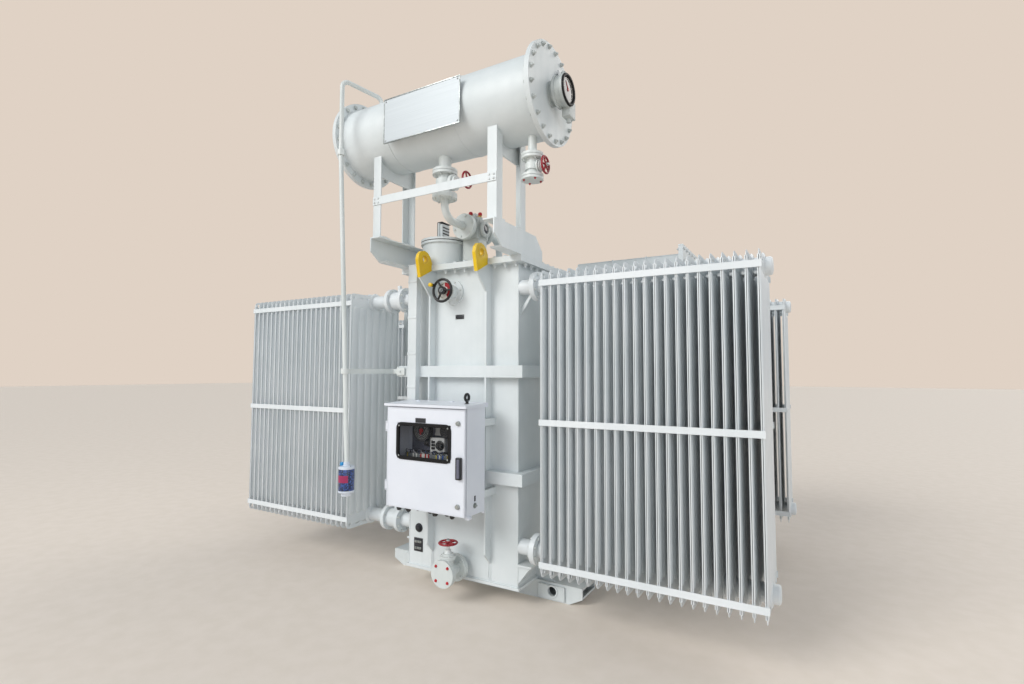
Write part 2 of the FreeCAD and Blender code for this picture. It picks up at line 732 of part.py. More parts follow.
def build():
    nodes = {}
    for maker in (tank, bands, stiffeners, base, radiators, connections, side_trunks,
                  conservator, stand, relay_pipes, cover_fittings, breather, cabinet,
                  cable_tray, tap_changer, wheels):
        nodes.update(maker())
    nodes["outlet_valve"] = outlet_valve()
    nodes["gas_relay"] = gas_relay()
    nodes["sump_valve"] = sump_valve()
    nodes["drain_valve"] = drain_valve()
    return nodes


def place(nodes):
    """Moves every node so the overall box stands centred on the origin."""
    whole = FreeCAD.BoundBox()
    for shape in nodes.values():
        whole.add(shape.BoundBox)
    shift = vec(-(whole.XMin + whole.XMax) / 2, -(whole.YMin + whole.YMax) / 2, -whole.ZMin)
    for shape in nodes.values():
        shape.translate(shift)
    return shift


def main():
    os.makedirs("parts", exist_ok=True)
    nodes = build()
    shift = place(nodes)
    print("shift", round(shift.x, 3), round(shift.y, 3), round(shift.z, 3))
    for name, shape in nodes.items():
        shape.exportStep("parts/" + name + ".step")


main()
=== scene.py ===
import random

import bmesh
import bpy
from bmesh import ops
from math import copysign, cos, pi, radians, sin
from mathutils import Matrix, Vector


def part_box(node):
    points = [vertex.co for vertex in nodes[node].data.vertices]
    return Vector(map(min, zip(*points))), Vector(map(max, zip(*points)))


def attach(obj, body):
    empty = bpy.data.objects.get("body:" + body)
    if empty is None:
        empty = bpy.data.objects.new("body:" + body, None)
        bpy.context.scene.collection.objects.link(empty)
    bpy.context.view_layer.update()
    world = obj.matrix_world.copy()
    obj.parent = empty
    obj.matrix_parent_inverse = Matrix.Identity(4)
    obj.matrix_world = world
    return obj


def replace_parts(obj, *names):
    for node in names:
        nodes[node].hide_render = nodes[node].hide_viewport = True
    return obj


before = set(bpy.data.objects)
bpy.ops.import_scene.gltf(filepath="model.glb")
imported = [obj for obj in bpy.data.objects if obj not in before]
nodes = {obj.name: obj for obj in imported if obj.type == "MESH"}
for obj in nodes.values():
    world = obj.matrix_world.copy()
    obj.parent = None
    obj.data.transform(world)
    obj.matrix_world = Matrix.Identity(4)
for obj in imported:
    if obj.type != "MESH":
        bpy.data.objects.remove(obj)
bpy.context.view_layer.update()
scene = bpy.context.scene
dice = random.Random(11)

# Sizes shared with the steelwork, mm. Every shape below is drawn in millimetres from the foot of the
# tank's front wall, on its centre line.
TANK_X, TANK_BACK, MIDDLE_Y = 400, 1850, 925
RIM_X, RIM_FRONT_Y, RIM_BACK_Y = 424, -30, 1880
RIM_UNDER, COVER_TOP, COVER_BACK = 1864, 1900, 1906
LUG_X = 211
FIN_COUNT, FIN_PITCH, FIN_WIDTH = 22, 50, 480
FIN_FOOT, FIN_TOP, FIN_SHEET = 165, 1765, 2.8
FLUTES, FLUTE_PITCH, FLUTE_RADIUS = 7, 66, 28.5
HEADER_RADIUS, HEADER_LEVELS = 44.5, (222, 1722)
RIGHT_HEADER_Y, LEFT_HEADER_Y = 40, 130
CONSERVATOR_Y, CONSERVATOR_Z = -176, 2720
OUTLET_X, SUMP_X, VALVE_Y = 7, 598, -200
RELAY_AT = (7, 121, 2136)
DRAIN_X, DRAIN_Z = 8, 62
TAP_X, TAP_Z = -72, 1722
TURRET_X, TURRET_Y = -215, 92
DOOR_FACE = -320

cover_low, cover_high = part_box("tank_cover")
TANK_FOOT = Vector(((cover_low.x + cover_high.x) / 2, cover_high.y - COVER_BACK / 1000,
                    cover_high.z - COVER_TOP / 1000))
TO_ROW = Matrix.Translation(TANK_FOOT) @ Matrix.Scale(0.001, 4)

RIGHT, LEFT, FRONT, BACK, UP, DOWN = ((1, 0, 0), (-1, 0, 0), (0, -1, 0), (0, 1, 0), (0, 0, 1), (0, 0, -1))


# Finishes --------------------------------------

def linear(code):
    """An sRGB hex colour as linear RGBA."""
    parts = [int(code[i:i + 2], 16) / 255 for i in (0, 2, 4)]
    return (*[c / 12.92 if c <= 0.04045 else ((c + 0.055) / 1.055) ** 2.4 for c in parts], 1)


# The first colour is settled dust; the second is a painted highlight laid along the enamel's edges
DUST, EDGE_HIGHLIGHT = "B9AE9C", "F4F6F6"


def fill(tree, node, inputs):
    """Fills a node's inputs with values, hex colours or links."""
    for key, value in inputs.items():
        if isinstance(value, bpy.types.NodeSocket):
            tree.links.new(value, node.inputs[key])
        else:
            node.inputs[key].default_value = linear(value) if isinstance(value, str) else value


def add(tree, kind, inputs=None, **settings):
    """A node of that kind, its settings made and its inputs filled."""
    node = tree.nodes.new("ShaderNode" + kind)
    for key, value in settings.items():
        setattr(node, key, value)
    fill(tree, node, inputs or {})
    return node


def fresh(name, **surface):
    """An empty material with a Principled surface, and its object coordinates."""
    material = bpy.data.materials.new(name)
    material.use_nodes = True
    tree = material.node_tree
    tree.nodes.clear()
    shader = add(tree, "BsdfPrincipled", surface)
    add(tree, "OutputMaterial", {"Surface": shader.outputs[0]})
    where = add(tree, "TexCoord").outputs["Object"]
    return material, tree, shader, where


def ramp(tree, value, low, high, to_low=0.0, to_high=1.0):
    """value spread from low..high onto to_low..to_high."""
    return add(tree, "MapRange", {
        "Value": value, "From Min": low, "From Max": high, "To Min": to_low, "To Max": to_high,
    }).outputs["Result"]


def blend(tree, share, first, second):
    """Two colours mixed by share."""
    mixed = add(tree, "Mix", {"Factor": share, 6: first, 7: second}, data_type="RGBA")
    return mixed.outputs[2]


def noise(tree, vector, scale, detail, rough=0.5):
    """The grey value of a noise."""
    return add(tree, "TexNoise", {
        "Vector": vector, "Scale": scale, "Detail": detail, "Roughness": rough}).outputs["Fac"]


def stretched(tree, where, scale):
    return add(tree, "Mapping", {"Vector": where, "Scale": scale}).outputs[0]


def raised(tree, height, strength, distance, normal=None, **settings):
    """A surface normal lifted by height."""
    inputs = {"Height": height, "Strength": strength, "Distance": distance}
    if normal is not None:
        inputs["Normal"] = normal
    return add(tree, "Bump", inputs, **settings).outputs[0]


def enamel(name, colour, shade, gloss, edge_mm=2.5, peel=0.05, dust=0.25, streaks=0.5, grit=0.0):
    """Two-pack enamel sprayed on primed steel: satin, slightly orange-peeled, with faint runs of
    washed-off dust down the walls, dust on what faces up, and edges painted brighter as a painted highlight."""
    material, tree, shader, where = fresh(name, **{"IOR": 1.5, "Specular IOR Level": 0.5})
    cloud = ramp(tree, noise(tree, where, 2.2, 5.0, 0.6), 0.35, 0.7)
    runs = noise(tree, stretched(tree, where, (26.0, 26.0, 1.3)), 1.0, 3.0)
    base = blend(tree, cloud, colour, shade)
    base = blend(tree, ramp(tree, runs, 0.52, 0.78, 0.0, streaks), base, shade)
    # Dust settles on faces that look up
    facing = add(tree, "NewGeometry").outputs
    up = add(tree, "SeparateXYZ", {0: facing["True Normal"]}).outputs["Z"]
    settled = add(tree, "Math", {0: ramp(tree, up, 0.5, 1.0, 0.0, dust), 1: cloud}, operation="MULTIPLY")
    base = blend(tree, settled.outputs[0], base, DUST)
    # Edges: rounded over by the paint, and painted brighter, a painted highlight along them
    skin = facing["Normal"]
    if edge_mm:
        skin = add(tree, "Bevel", {"Radius": edge_mm / 1000}, samples=4).outputs[0]
        turn = add(tree, "VectorMath", {0: skin, 1: facing["Normal"]}, operation="DOT_PRODUCT")
        base = blend(tree, ramp(tree, turn.outputs["Value"], 0.985, 0.80, 0.0, 0.4), base, EDGE_HIGHLIGHT)
    # Orange peel is about 3 mm across, drawn at 9 mm so that it shows
    skin = raised(tree, noise(tree, where, 110.0, 2.0), peel, 0.004, skin)
    if grit:
        # Powder coat's fine texture, about 1 mm, drawn at 3 mm
        skin = raised(tree, noise(tree, where, 420.0, 1.0), grit, 0.001, skin)
    rough = ramp(tree, runs, 0.3, 0.75, gloss - 0.05, gloss + 0.1)
    fill(tree, shader, {"Base Color": base, "Roughness": rough, "Normal": skin})
    return material


def moulded(name, colour, shade, gloss, scale=160.0, bump=0.08, **surface):
    """A moulded or cast skin: a fine spark-eroded grain and slightly uneven colour."""
    material, tree, shader, where = fresh(name, **{"IOR": 1.5, **surface})
    patches = ramp(tree, noise(tree, where, 9.0, 4.0), 0.35, 0.65)
    base = blend(tree, patches, colour, shade)
    grain = noise(tree, where, scale, 2.0)
    rough = ramp(tree, grain, 0.3, 0.7, gloss - 0.05, gloss + 0.07)
    fill(tree, shader, {"Base Color": base, "Roughness": rough, "Normal": raised(tree, grain, bump, 0.002)})
    return material


def bare_metal(name, colour, shade, gloss, lines=(3.0, 3.0, 900.0), bump=0.03, spread=0.16):
    """Bare metal with a drawn or brushed grain running one way."""
    material, tree, shader, where = fresh(name, Metallic=1.0)
    grain = noise(tree, stretched(tree, where, lines), 1.0, 4.0)
    base = blend(tree, ramp(tree, grain, 0.35, 0.7), colour, shade)
    rough = ramp(tree, grain, 0.3, 0.7, gloss - spread / 3, gloss + spread * 2 / 3)
    fill(tree, shader, {"Base Color": base, "Roughness": rough, "Normal": raised(tree, grain, bump, 0.001)})
    return material


def silica_beads():
    """Blue indicating silica gel in a clear cup: 4 mm beads, drawn at 7 mm, glossed by the cup, with painted
    shade in the gaps between them.
    """
    material, tree, shader, where = fresh("silica_gel_beads", **{
        "IOR": 1.46, "Roughness": 0.32, "Coat Weight": 0.6, "Coat Roughness": 0.06})
    cells = add(tree, "TexVoronoi", {"Vector": where, "Scale": 140.0}).outputs
    tint = add(tree, "SeparateColor", {0: cells["Color"]}).outputs[0]
    bead = blend(tree, ramp(tree, tint, 0.1, 0.9), "122E6E", "3F66B4")
    # The gaps between the beads are painted near-black: painted shade between the beads
    base = blend(tree, ramp(tree, cells["Distance"], 0.35, 0.75), bead, "060E26")
    dents = raised(tree, cells["Distance"], 0.7, 0.003, invert=True)
    fill(tree, shader, {"Base Color": base, "Normal": dents})
    return material


def float_glass():
    """4 mm clear window glass: it tints little, and shows mostly by its reflections."""
    material, tree, shader, where = fresh("float_glass", **{
        "IOR": 1.52, "Alpha": 0.12, "Base Color": "1C2226"})
    fill(tree, shader, {"Roughness": ramp(tree, noise(tree, where, 14.0, 4.0), 0.35, 0.75, 0.03, 0.13)})
    return material


TANK = enamel("tank_enamel", "DCE2E4", "CED6D8", 0.42, streaks=0.3)
RADIATOR = enamel("radiator_enamel", "E2E7EA", "D6DDE0", 0.33, edge_mm=0, peel=0.02, dust=0.2, streaks=0.08)
PIPES = enamel("pipework_enamel", "DCE1E0", "C6CECD", 0.38, edge_mm=2)
RELAY = enamel("cast_relay_enamel", "D5D9D7", "B3BAB8", 0.4, edge_mm=3, peel=0.25)
CABINET = enamel("cabinet_powder_coat", "E4E8F0", "DADFE8", 0.38, edge_mm=2, peel=0.02, dust=0.1,
                 streaks=0.15, grit=0.25)
YELLOW = enamel("lug_yellow_enamel", "F2CF12", "DDB40A", 0.34, streaks=0.2)
RED = enamel("handwheel_red_enamel", "9E1526", "7A0E1C", 0.25, edge_mm=1.5, streaks=0.2, dust=0.1)
BLACK = enamel("handwheel_black_enamel", "0E0E10", "18181A", 0.28, edge_mm=1.0, streaks=0.1, dust=0.05)
# Cast grey of the gauge and relay box; on the conservator cover bolts the same grey is painted shade
CAST_GREY_AND_BOLT_SHADE = moulded("cast_aluminium_and_bolt_shade", "C9CFCE", "A9B0AF", 0.42, bump=0.2)
ZINC = bare_metal("zinc_plated_fastener", "B9BDBC", "8E9492", 0.38, lines=(60.0, 60.0, 60.0), bump=0.1)
ALUMINIUM = bare_metal("brushed_aluminium_plate", "B4B9BC", "AEB3B6", 0.55, lines=(3.0, 3.0, 500.0),
                       bump=0.004, spread=0.03)
STEEL = bare_metal("turned_steel_spindle", "A8ABAA", "7E8281", 0.28)
BRASS = bare_metal("turned_brass_cock", "C6A45A", "9C7C3C", 0.32)
GASKET = moulded("black_rubber_gasket", "070708", "0E0E10", 0.5, bump=0.15, **{"Specular IOR Level": 0.3})
DARK_CASE = moulded("dark_instrument_case", "232428", "303238", 0.4)
PLATE_GREY = moulded("instrument_mounting_plate", "6E7080", "5E6070", 0.45, bump=0.04)
NYLON = moulded("black_nylon_gland", "1B1C1E", "2A2B2D", 0.38)
WHITE_CASE = moulded("white_relay_case", "E9EAE8", "D9DBDA", 0.34, bump=0.03)
WHITE_CAP = moulded("white_moulded_cap", "E6EAF0", "CBD4E0", 0.3, bump=0.04)
RED_CAP = moulded("red_moulded_cap", "C0202A", "96141E", 0.3, bump=0.03)
YELLOW_KNOB = moulded("yellow_moulded_knob", "E8C21A", "C9A20F", 0.3, bump=0.03)
DIAL_GLASS = moulded("dial_behind_glass", "1A1C22", "2C303A", 0.08, bump=0.0,
                     **{"Coat Weight": 0.8, "Coat Roughness": 0.03})
DIAL_WHITE = moulded("dial_face_white", "E4E2DA", "D6D3CA", 0.35, bump=0.0)
BEADS = silica_beads()
GLASS = float_glass()

NODE_FINISH = {
    RADIATOR: ["radiator_necks", "radiator_stubs", "radiator_tie_bars", "radiator_valves",
               "radiator_left_front", "radiator_left_rear", "radiator_right_front", "radiator_right_rear"],
    PIPES: ["outlet_valve", "relay_pipes", "sump_valve", "drain_valve", "breather_pipe", "breather_stay"],
    RELAY: ["gas_relay"],
    CABINET: ["cabinet_shell", "cabinet_roof", "cabinet_door"],
    YELLOW: ["lifting_lugs"],
    RED: ["outlet_wheel", "sump_wheel", "drain_wheel"],
    BLACK: ["tap_wheel"],
    ALUMINIUM: ["sign_plate"],
    CAST_GREY_AND_BOLT_SHADE: ["oil_level_gauge"],
    PLATE_GREY: ["cabinet_instruments"],
    WHITE_CAP: ["breather"],
    GLASS: ["cabinet_glass"],
}
finish_of = {name: finish for finish, names in NODE_FINISH.items() for name in names}

# Each imported part takes the finish that NODE_FINISH gives it, or the tank enamel if it isn't listed
for name, cad in nodes.items():
    cad.data.materials.clear()
    cad.data.materials.append(finish_of.get(name, TANK))


# Shapes ----------------------------------------

move = Matrix.Translation


def stand(foot, axis):
    """What puts a shape that stands on the origin onto foot, pointing along axis."""
    return move(foot) @ Vector(axis).to_track_quat("Z", "Y").to_matrix().to_4x4()


def drum(bm, foot, axis, length, radius, top=None, sides=24):
    """A round or many-sided bar from foot along axis, tapering to top."""
    place = stand(foot, axis) @ move((0, 0, length / 2))
    return ops.create_cone(bm, cap_ends=True, segments=sides, radius1=radius,
                                 radius2=radius if top is None else top, depth=length, matrix=place)["verts"]


def block(bm, low, high, soften=0.0):
    """A block between two corners, its edges bevelled by soften."""
    low, high = Vector(low), Vector(high)
    place = move((low + high) / 2) @ Matrix.Diagonal((*(high - low), 1))
    made = ops.create_cube(bm, size=1, matrix=place)["verts"]
    if soften:
        edges = dict.fromkeys(e for v in made for e in v.link_edges)
        ops.bevel(bm, geom=list(edges), offset=soften, segments=2, profile=0.5, affect="EDGES",
                        material=-1)


def round_off(bm, offset, segments):
    """Rounds the corners of the flat outline in bm."""
    ops.bevel(bm, geom=bm.verts[:], offset=offset, segments=segments, profile=0.5, affect="VERTICES",
                    material=-1)


def lathe(bm, foot, axis, profile, steps=32):
    """A turned shape: profile gives (radius, height above foot) along axis."""
    blank = bmesh.new()
    verts = [blank.verts.new((r, 0, h)) for r, h in profile]
    edges = [blank.edges.new(pair) for pair in zip(verts, verts[1:])]
    ops.spin(blank, geom=verts + edges, cent=(0, 0, 0), axis=(0, 0, 1), dvec=(0, 0, 0),
                   angle=2 * pi, steps=steps, use_merge=True, use_duplicate=False)
    ops.transform(blank, matrix=stand(foot, axis), verts=blank.verts[:])
    sheet = bpy.data.meshes.new("blank")
    blank.to_mesh(sheet)
    blank.free()
    bm.from_mesh(sheet)
    bpy.data.meshes.remove(sheet)


def tube(inner, outer, tall):
    """The profile of a plain ring."""
    return [(inner, 0), (outer, 0), (outer, tall), (inner, tall), (inner, 0)]


def sector(bm, profile, sweep, steps, start, place):
    """Part of a ring: a tube profile swept through sweep degrees from start."""
    ring = [bm.verts.new((r, 0, h)) for r, h in profile[:4]]
    edges = [bm.edges.new((ring[i], ring[(i + 1) % 4])) for i in range(4)]
    section = ops.contextual_create(bm, geom=edges)["faces"]
    ops.spin(bm, geom=section, cent=(0, 0, 0), axis=(0, 0, 1), dvec=(0, 0, 0),
                   angle=radians(sweep), steps=steps, use_merge=False, use_duplicate=False)
    ops.rotate(bm, verts=bm.verts[:], cent=(0, 0, 0), matrix=Matrix.Rotation(radians(start), 3, "Z"))
    ops.transform(bm, verts=bm.verts[:], matrix=place)


def hoop(bm, centre, axis, radius, thick, steps=32, sides=8):
    """A round-sectioned ring about axis."""
    profile = [(radius + thick * cos(a), thick * sin(a))
               for a in (2 * pi * i / sides for i in range(sides + 1))]
    lathe(bm, centre, axis, profile, steps)


def bolt(bm, foot, axis, size=12, stud=0.0):
    """A washer and a chamfered hexagon, with the stud's end through it on a nut."""
    axis, foot = Vector(axis), Vector(foot)
    drum(bm, foot, axis, size * 0.2, size * 1.05, sides=14)
    drum(bm, foot + axis * size * 0.2, axis, size * 0.55, size * 0.88, sides=6)
    drum(bm, foot + axis * size * 0.75, axis, size * 0.12, size * 0.88, size * 0.72, sides=6)
    if stud:
        drum(bm, foot + axis * size * 0.8, axis, stud, size * 0.5, size * 0.42, sides=8)


def around(count, radius, centre, axis, start=0.0):
    """Points equally spaced on a circle about axis."""
    place = stand(centre, axis)
    return [place @ Vector((radius * cos(a), radius * sin(a), 0))
            for a in (start + 2 * pi * i / count for i in range(count))]


def along(start, stop, count):
    """Numbers equally spaced from start to stop."""
    return [start + (stop - start) * i / (count - 1) for i in range(count)]


def flange_bolts(bm, count, circle, centre, axis, size, start=0.0, stud=0.0):
    """A ring of bolts."""
    for point in around(count, circle, centre, axis, start):
        bolt(bm, point, axis, size, stud)


def bead(bm, start, stop, size=4):
    """A hand-laid weld bead: a low ridge whose width wanders."""
    start, stop = Vector(start), Vector(stop)
    run = stop - start
    made = drum(bm, start, run, run.length, size, sides=6)
    edges = list(dict.fromkeys(e for v in made for e in v.link_edges if e.calc_length() > run.length * 0.9))
    cuts = ops.subdivide_edges(bm, edges=edges, cuts=max(2, int(run.length / 45)), use_grid_fill=False)
    for v in dict.fromkeys(v for v in cuts["geom_inner"] if isinstance(v, bmesh.types.BMVert)):
        v.co += Vector([dice.uniform(-0.7, 0.7) for _ in range(3)])


def blanks(count):
    """That many empty shapes."""
    return [bmesh.new() for _ in range(count)]


def link(name, data):
    """An object for data, in the scene."""
    made = bpy.data.objects.new(name, data)
    scene.collection.objects.link(made)
    return made


def show(name, mesh, finish, body):
    """An object for a finished mesh, riding on body."""
    mesh.materials.clear()
    mesh.materials.append(finish)
    made = link(name, mesh)
    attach(made, body)
    return made


def piece(name, bm, finish, slot=None, body="tank", soften=0.0, smooth=38):
    """Finishes a shape as an object that rides on body."""
    ops.remove_doubles(bm, verts=bm.verts[:], dist=0.01)
    ops.recalc_face_normals(bm, faces=bm.faces[:])
    ops.transform(bm, matrix=TO_ROW, verts=bm.verts[:])
    for face in bm.faces:
        face.smooth = True
    for edge in bm.edges:
        edge.smooth = len(edge.link_faces) == 2 and edge.calc_face_angle(pi) < radians(smooth)
    mesh = bpy.data.meshes.new(name)
    bm.to_mesh(mesh)
    bm.free()
    made = show(name, mesh, finish, body)
    if soften:
        edges = made.modifiers.new("edges", "BEVEL")
        edges.width, edges.segments, edges.limit_method = soften / 1000, 2, "ANGLE"
    return made


def piece_of(shape, rows, name, finish, slot=None, **more):
    """A piece that repeats one kind of shape, a row of measures for each."""
    bm = bmesh.new()
    for row in rows:
        shape(bm, *row)
    return piece(name, bm, finish, slot, **more)


def wire(name, routes, radius, finish):
    """Insulated wires, each a smooth line through its own points, as one mesh."""
    line = bpy.data.curves.new(name, "CURVE")
    line.dimensions, line.bevel_depth, line.bevel_resolution, line.use_fill_caps = "3D", radius, 2, True
    for points in routes:
        run = line.splines.new("NURBS")
        run.points.add(len(points) - 1)
        for point, place in zip(run.points, points):
            point.co = (*place, 1)
        run.order_u, run.use_endpoint_u = 3, True
    sketch = bpy.data.objects.new(name + "_line", line)
    mesh = bpy.data.meshes.new_from_object(sketch)
    bpy.data.objects.remove(sketch)
    mesh.transform(TO_ROW)
    mesh.shade_smooth()
    show(name, mesh, finish, "tank")


# Radiators -------------------------------------

def fin():
    """One radiator plate at X 0: a seam-edged sheet with holes near both ends and seven flutes."""
    plate = bmesh.new()
    half = FIN_WIDTH / 2
    tall = (FIN_TOP - FIN_FOOT) / 2
    corner = 28
    ops.create_grid(plate, x_segments=1, y_segments=1, size=1, matrix=Matrix.Diagonal((tall, half, 1, 1)))
    round_off(plate, corner, 3)
    ops.delete(plate, geom=plate.faces[:], context="FACES_ONLY")
    for up in (-1, 1):
        for out, wide in ((-209, 1), (-143, 2), (-80, 2), (80, 2), (143, 2), (209, 1)):
            ops.create_circle(plate, segments=10, radius=10, matrix=move(
                (up * (tall - 27), out, 0)) @ Matrix.Diagonal((1.2 / wide, 1.1 * wide, 1, 1)))
    ops.triangle_fill(plate, edges=plate.edges[:], use_beauty=True, use_dissolve=False)
    ops.solidify(plate, geom=plate.faces[:], thickness=FIN_SHEET)
    ops.translate(plate, verts=plate.verts[:], vec=(0, 0, -FIN_SHEET / 2))
    # Flutes stand proud on both sides, with rounded ends
    reach = tall - 88
    for i in range(FLUTES):
        flute = ops.create_cone(plate, cap_ends=True, segments=12, radius1=FLUTE_RADIUS,
                                      radius2=FLUTE_RADIUS, depth=2)["verts"]
        for v in flute:
            if abs(v.co.x) > 1:
                v.co.x += copysign(reach - FLUTE_RADIUS, v.co.x)
            v.co.y += (i - FLUTES // 2) * FLUTE_PITCH
        caps = list(dict.fromkeys(f for v in flute for f in v.link_faces if len(f.verts) == 12))
        for inset, lift in ((2, 4.0), (7, 2.6), (9, 1.4)):
            for cap in caps:
                ops.inset_region(plate, faces=[cap], thickness=inset, depth=lift, use_even_offset=True)
    # The long edges are rolled over and seam-welded, about 13 mm thick
    for out in (-1, 1):
        edge = out * (half - 5)
        block(plate, (corner - tall, edge - 5, -6.5), (tall - corner, edge + 5, 6.5), 2.4)
    upright = move((0, 0, (FIN_TOP + FIN_FOOT) / 2)) @ Matrix.Rotation(pi / 2, 4, "Y")
    ops.transform(plate, matrix=upright, verts=plate.verts[:])
    return plate


def bank():
    """Plates on two header pipes from X 0 towards +X, with dished collars between the plates."""
    plate = fin()
    sheet = bpy.data.meshes.new("plate")
    plate.to_mesh(sheet)
    plate.free()
    bm = bmesh.new()
    for i in range(FIN_COUNT):
        before = len(bm.verts)
        bm.from_mesh(sheet)
        bm.verts.ensure_lookup_table()
        ops.translate(bm, verts=bm.verts[before:], vec=(FIN_PITCH * i, 0, 0))
    last = FIN_PITCH * (FIN_COUNT - 1)
    # Domed spacer studs between the plates, just under the upper tie bar
    for i in range(FIN_COUNT - 1):
        for y in (-204, 204):
            lathe(bm, (FIN_PITCH * (i + 1) - 1, y, HEADER_LEVELS[1] - 58), LEFT,
                  [(0, 24), (6, 22), (9, 17), (9, 0), (0, 0)], 10)
    for level in HEADER_LEVELS:
        drum(bm, (0, 0, level), RIGHT, last, HEADER_RADIUS, sides=28)
        for i in range(FIN_COUNT):
            lathe(bm, (FIN_PITCH * i - 8, 0, level), RIGHT,
                  [(40, 0), (58, 0), (66, 7), (66, 9), (58, 16), (40, 16), (40, 0)], 20)
        lathe(bm, (last, 0, level), RIGHT,
              [(0, 0), (HEADER_RADIUS, 0), (HEADER_RADIUS, 32), (40, 39), (26, 42), (0, 42)], 28)
    done = bpy.data.meshes.new("bank")
    bm.to_mesh(done)
    bm.free()
    return done


bank_sheet = bank()
for end, end_side in (("front", 1), ("rear", -1)):
    for hand, side, first, header_y in (("right", 1, 650, RIGHT_HEADER_Y), ("left", -1, -860, LEFT_HEADER_Y)):
        plates = bmesh.new()
        plates.from_mesh(bank_sheet)
        ops.scale(plates, vec=(side, 1, 1), verts=plates.verts[:])
        ops.translate(plates, verts=plates.verts[:],
                            vec=(first, MIDDLE_Y + end_side * (header_y - MIDDLE_Y), 0))
        fins = piece(f"fins_{hand}_{end}", plates, RADIATOR, smooth=50)
        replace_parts(fins, f"radiator_{hand}_{end}")


# Fasteners -------------------------------------

# Half the step of a ring of four, eight or twenty bolts, so that it straddles the centre line
HALF_4, HALF_8, HALF_20 = pi / 4, pi / 8, pi / 20


def rim_bolts():
    """M16 bolts round the cover at about 75 mm, with nuts and thread ends under the rim."""
    heads, nuts = blanks(2)
    spots = [(x, y) for x in along(-TANK_X, TANK_X, 12) for y in (RIM_FRONT_Y, RIM_BACK_Y)]
    spots += [(x, y) for x in (-RIM_X, RIM_X) for y in along(40, 1810, 25)]
    for x, y in spots:
        beside_lug = abs(abs(x) - LUG_X) < 34 and (y < 0 or y > TANK_BACK)
        if beside_lug:
            continue
        under_stand = abs(x) > 355 and y < 235
        if not under_stand:
            bolt(heads, (x, y, COVER_TOP), UP, 14)
        over_trunk = x >= TANK_X and 590 < y < 1262
        if not over_trunk:
            bolt(nuts, (x, y, RIM_UNDER), DOWN, 14, stud=14)
    piece("cover_bolt_heads", heads, TANK)
    piece("cover_bolt_nuts", nuts, TANK)


def conservator_bolts():
    """Twenty M16 bolts in each end cover, their nuts and thread ends outward."""
    rows = []
    for face, axis, back, inward in ((704, RIGHT, 678, LEFT), (-687, LEFT, -661, RIGHT)):
        rows.append((20, 248, (face, CONSERVATOR_Y, CONSERVATOR_Z), axis, 13, HALF_20, 9))
        rows.append((20, 248, (back, CONSERVATOR_Y, CONSERVATOR_Z), inward, 13, HALF_20))
    # These bolts are painted like the covers; their darker grey is painted shade, standing in for their
    # shadows
    piece_of(flange_bolts, rows, "conservator_cover_bolts", CAST_GREY_AND_BOLT_SHADE, "tank_paint")


def pipe_flange_bolts():
    """Bolts in the flanges of the oil pipes, radiator stubs and valves."""
    rows = []
    for z in HEADER_LEVELS:
        for y in (RIGHT_HEADER_Y, 2 * MIDDLE_Y - RIGHT_HEADER_Y):
            rows += [(8, 68, (490, y, z), LEFT, 9, HALF_8, 8), (8, 68, (520, y, z), RIGHT, 9, HALF_8)]
        for y in (LEFT_HEADER_Y, 2 * MIDDLE_Y - LEFT_HEADER_Y):
            rows += [(8, 72, (-560, y, z), RIGHT, 9, HALF_8, 8),
                     (8, 72, (-705, y, z), LEFT, 9, HALF_8, 8),
                     (8, 74, (-587, y, z), LEFT, 6, HALF_8),
                     (8, 74, (-678, y, z), RIGHT, 6, HALF_8)]
    for z, axis in ((2427, UP), (2394, DOWN), (2282, UP), (2250, DOWN)):
        rows.append((6, 60, (OUTLET_X, VALVE_Y, z), axis, 7, 0.3, 5))
    rows += [(6, 66, (7, -8, 2136), FRONT, 7, 0.26), (6, 55, (7, 234, 2136), BACK, 7, 0.26),
             (8, 47, (7, 121, 2214), UP, 4.5)]
    for z, axis in ((2404, UP), (2374, DOWN)):
        rows.append((4, 48, (SUMP_X, VALVE_Y, z), axis, 6.5, HALF_4, 6))
    for y, axis, stud in ((-40, BACK, 6), (-70, FRONT, 6), (-164, BACK, 10)):
        rows.append((4, 62, (DRAIN_X, y, DRAIN_Z), axis, 8, HALF_4, stud))
    rows.append((6, 66, (TAP_X, -12, TAP_Z), FRONT, 7, 0.2))
    piece_of(flange_bolts, rows, "pipe_flange_bolts", PIPES)
    piece_of(flange_bolts, [(4, 58, (DRAIN_X, -194, DRAIN_Z), FRONT, 8.5, HALF_4),
                            (4, 48, (SUMP_X, VALVE_Y, 2258), DOWN, 6.5, HALF_4, 4)],
             "blank_flange_bolts", RED_CAP)


def trunk_bolts():
    """Bolts round the blanked mouths of both side trunks."""
    bm = bmesh.new()
    for blank, back, axis, inward, y0, y1, z0, z1, across, rise in (
            (1222, 1195, RIGHT, LEFT, 585, 1265, 1245, 1975, 10, 11),
            (-917, -890, LEFT, RIGHT, 525, 1325, 1375, 1685, 11, 5)):
        spots = [(y, z) for y in along(y0, y1, across) for z in (z0, z1)]
        spots += [(y, z) for y in (y0, y1) for z in along(z0, z1, rise)[1:-1]]
        for y, z in spots:
            bolt(bm, (blank, y, z), axis, 10)
            bolt(bm, (back, y, z), inward, 10, stud=6)
    piece("trunk_flange_bolts", bm, TANK)


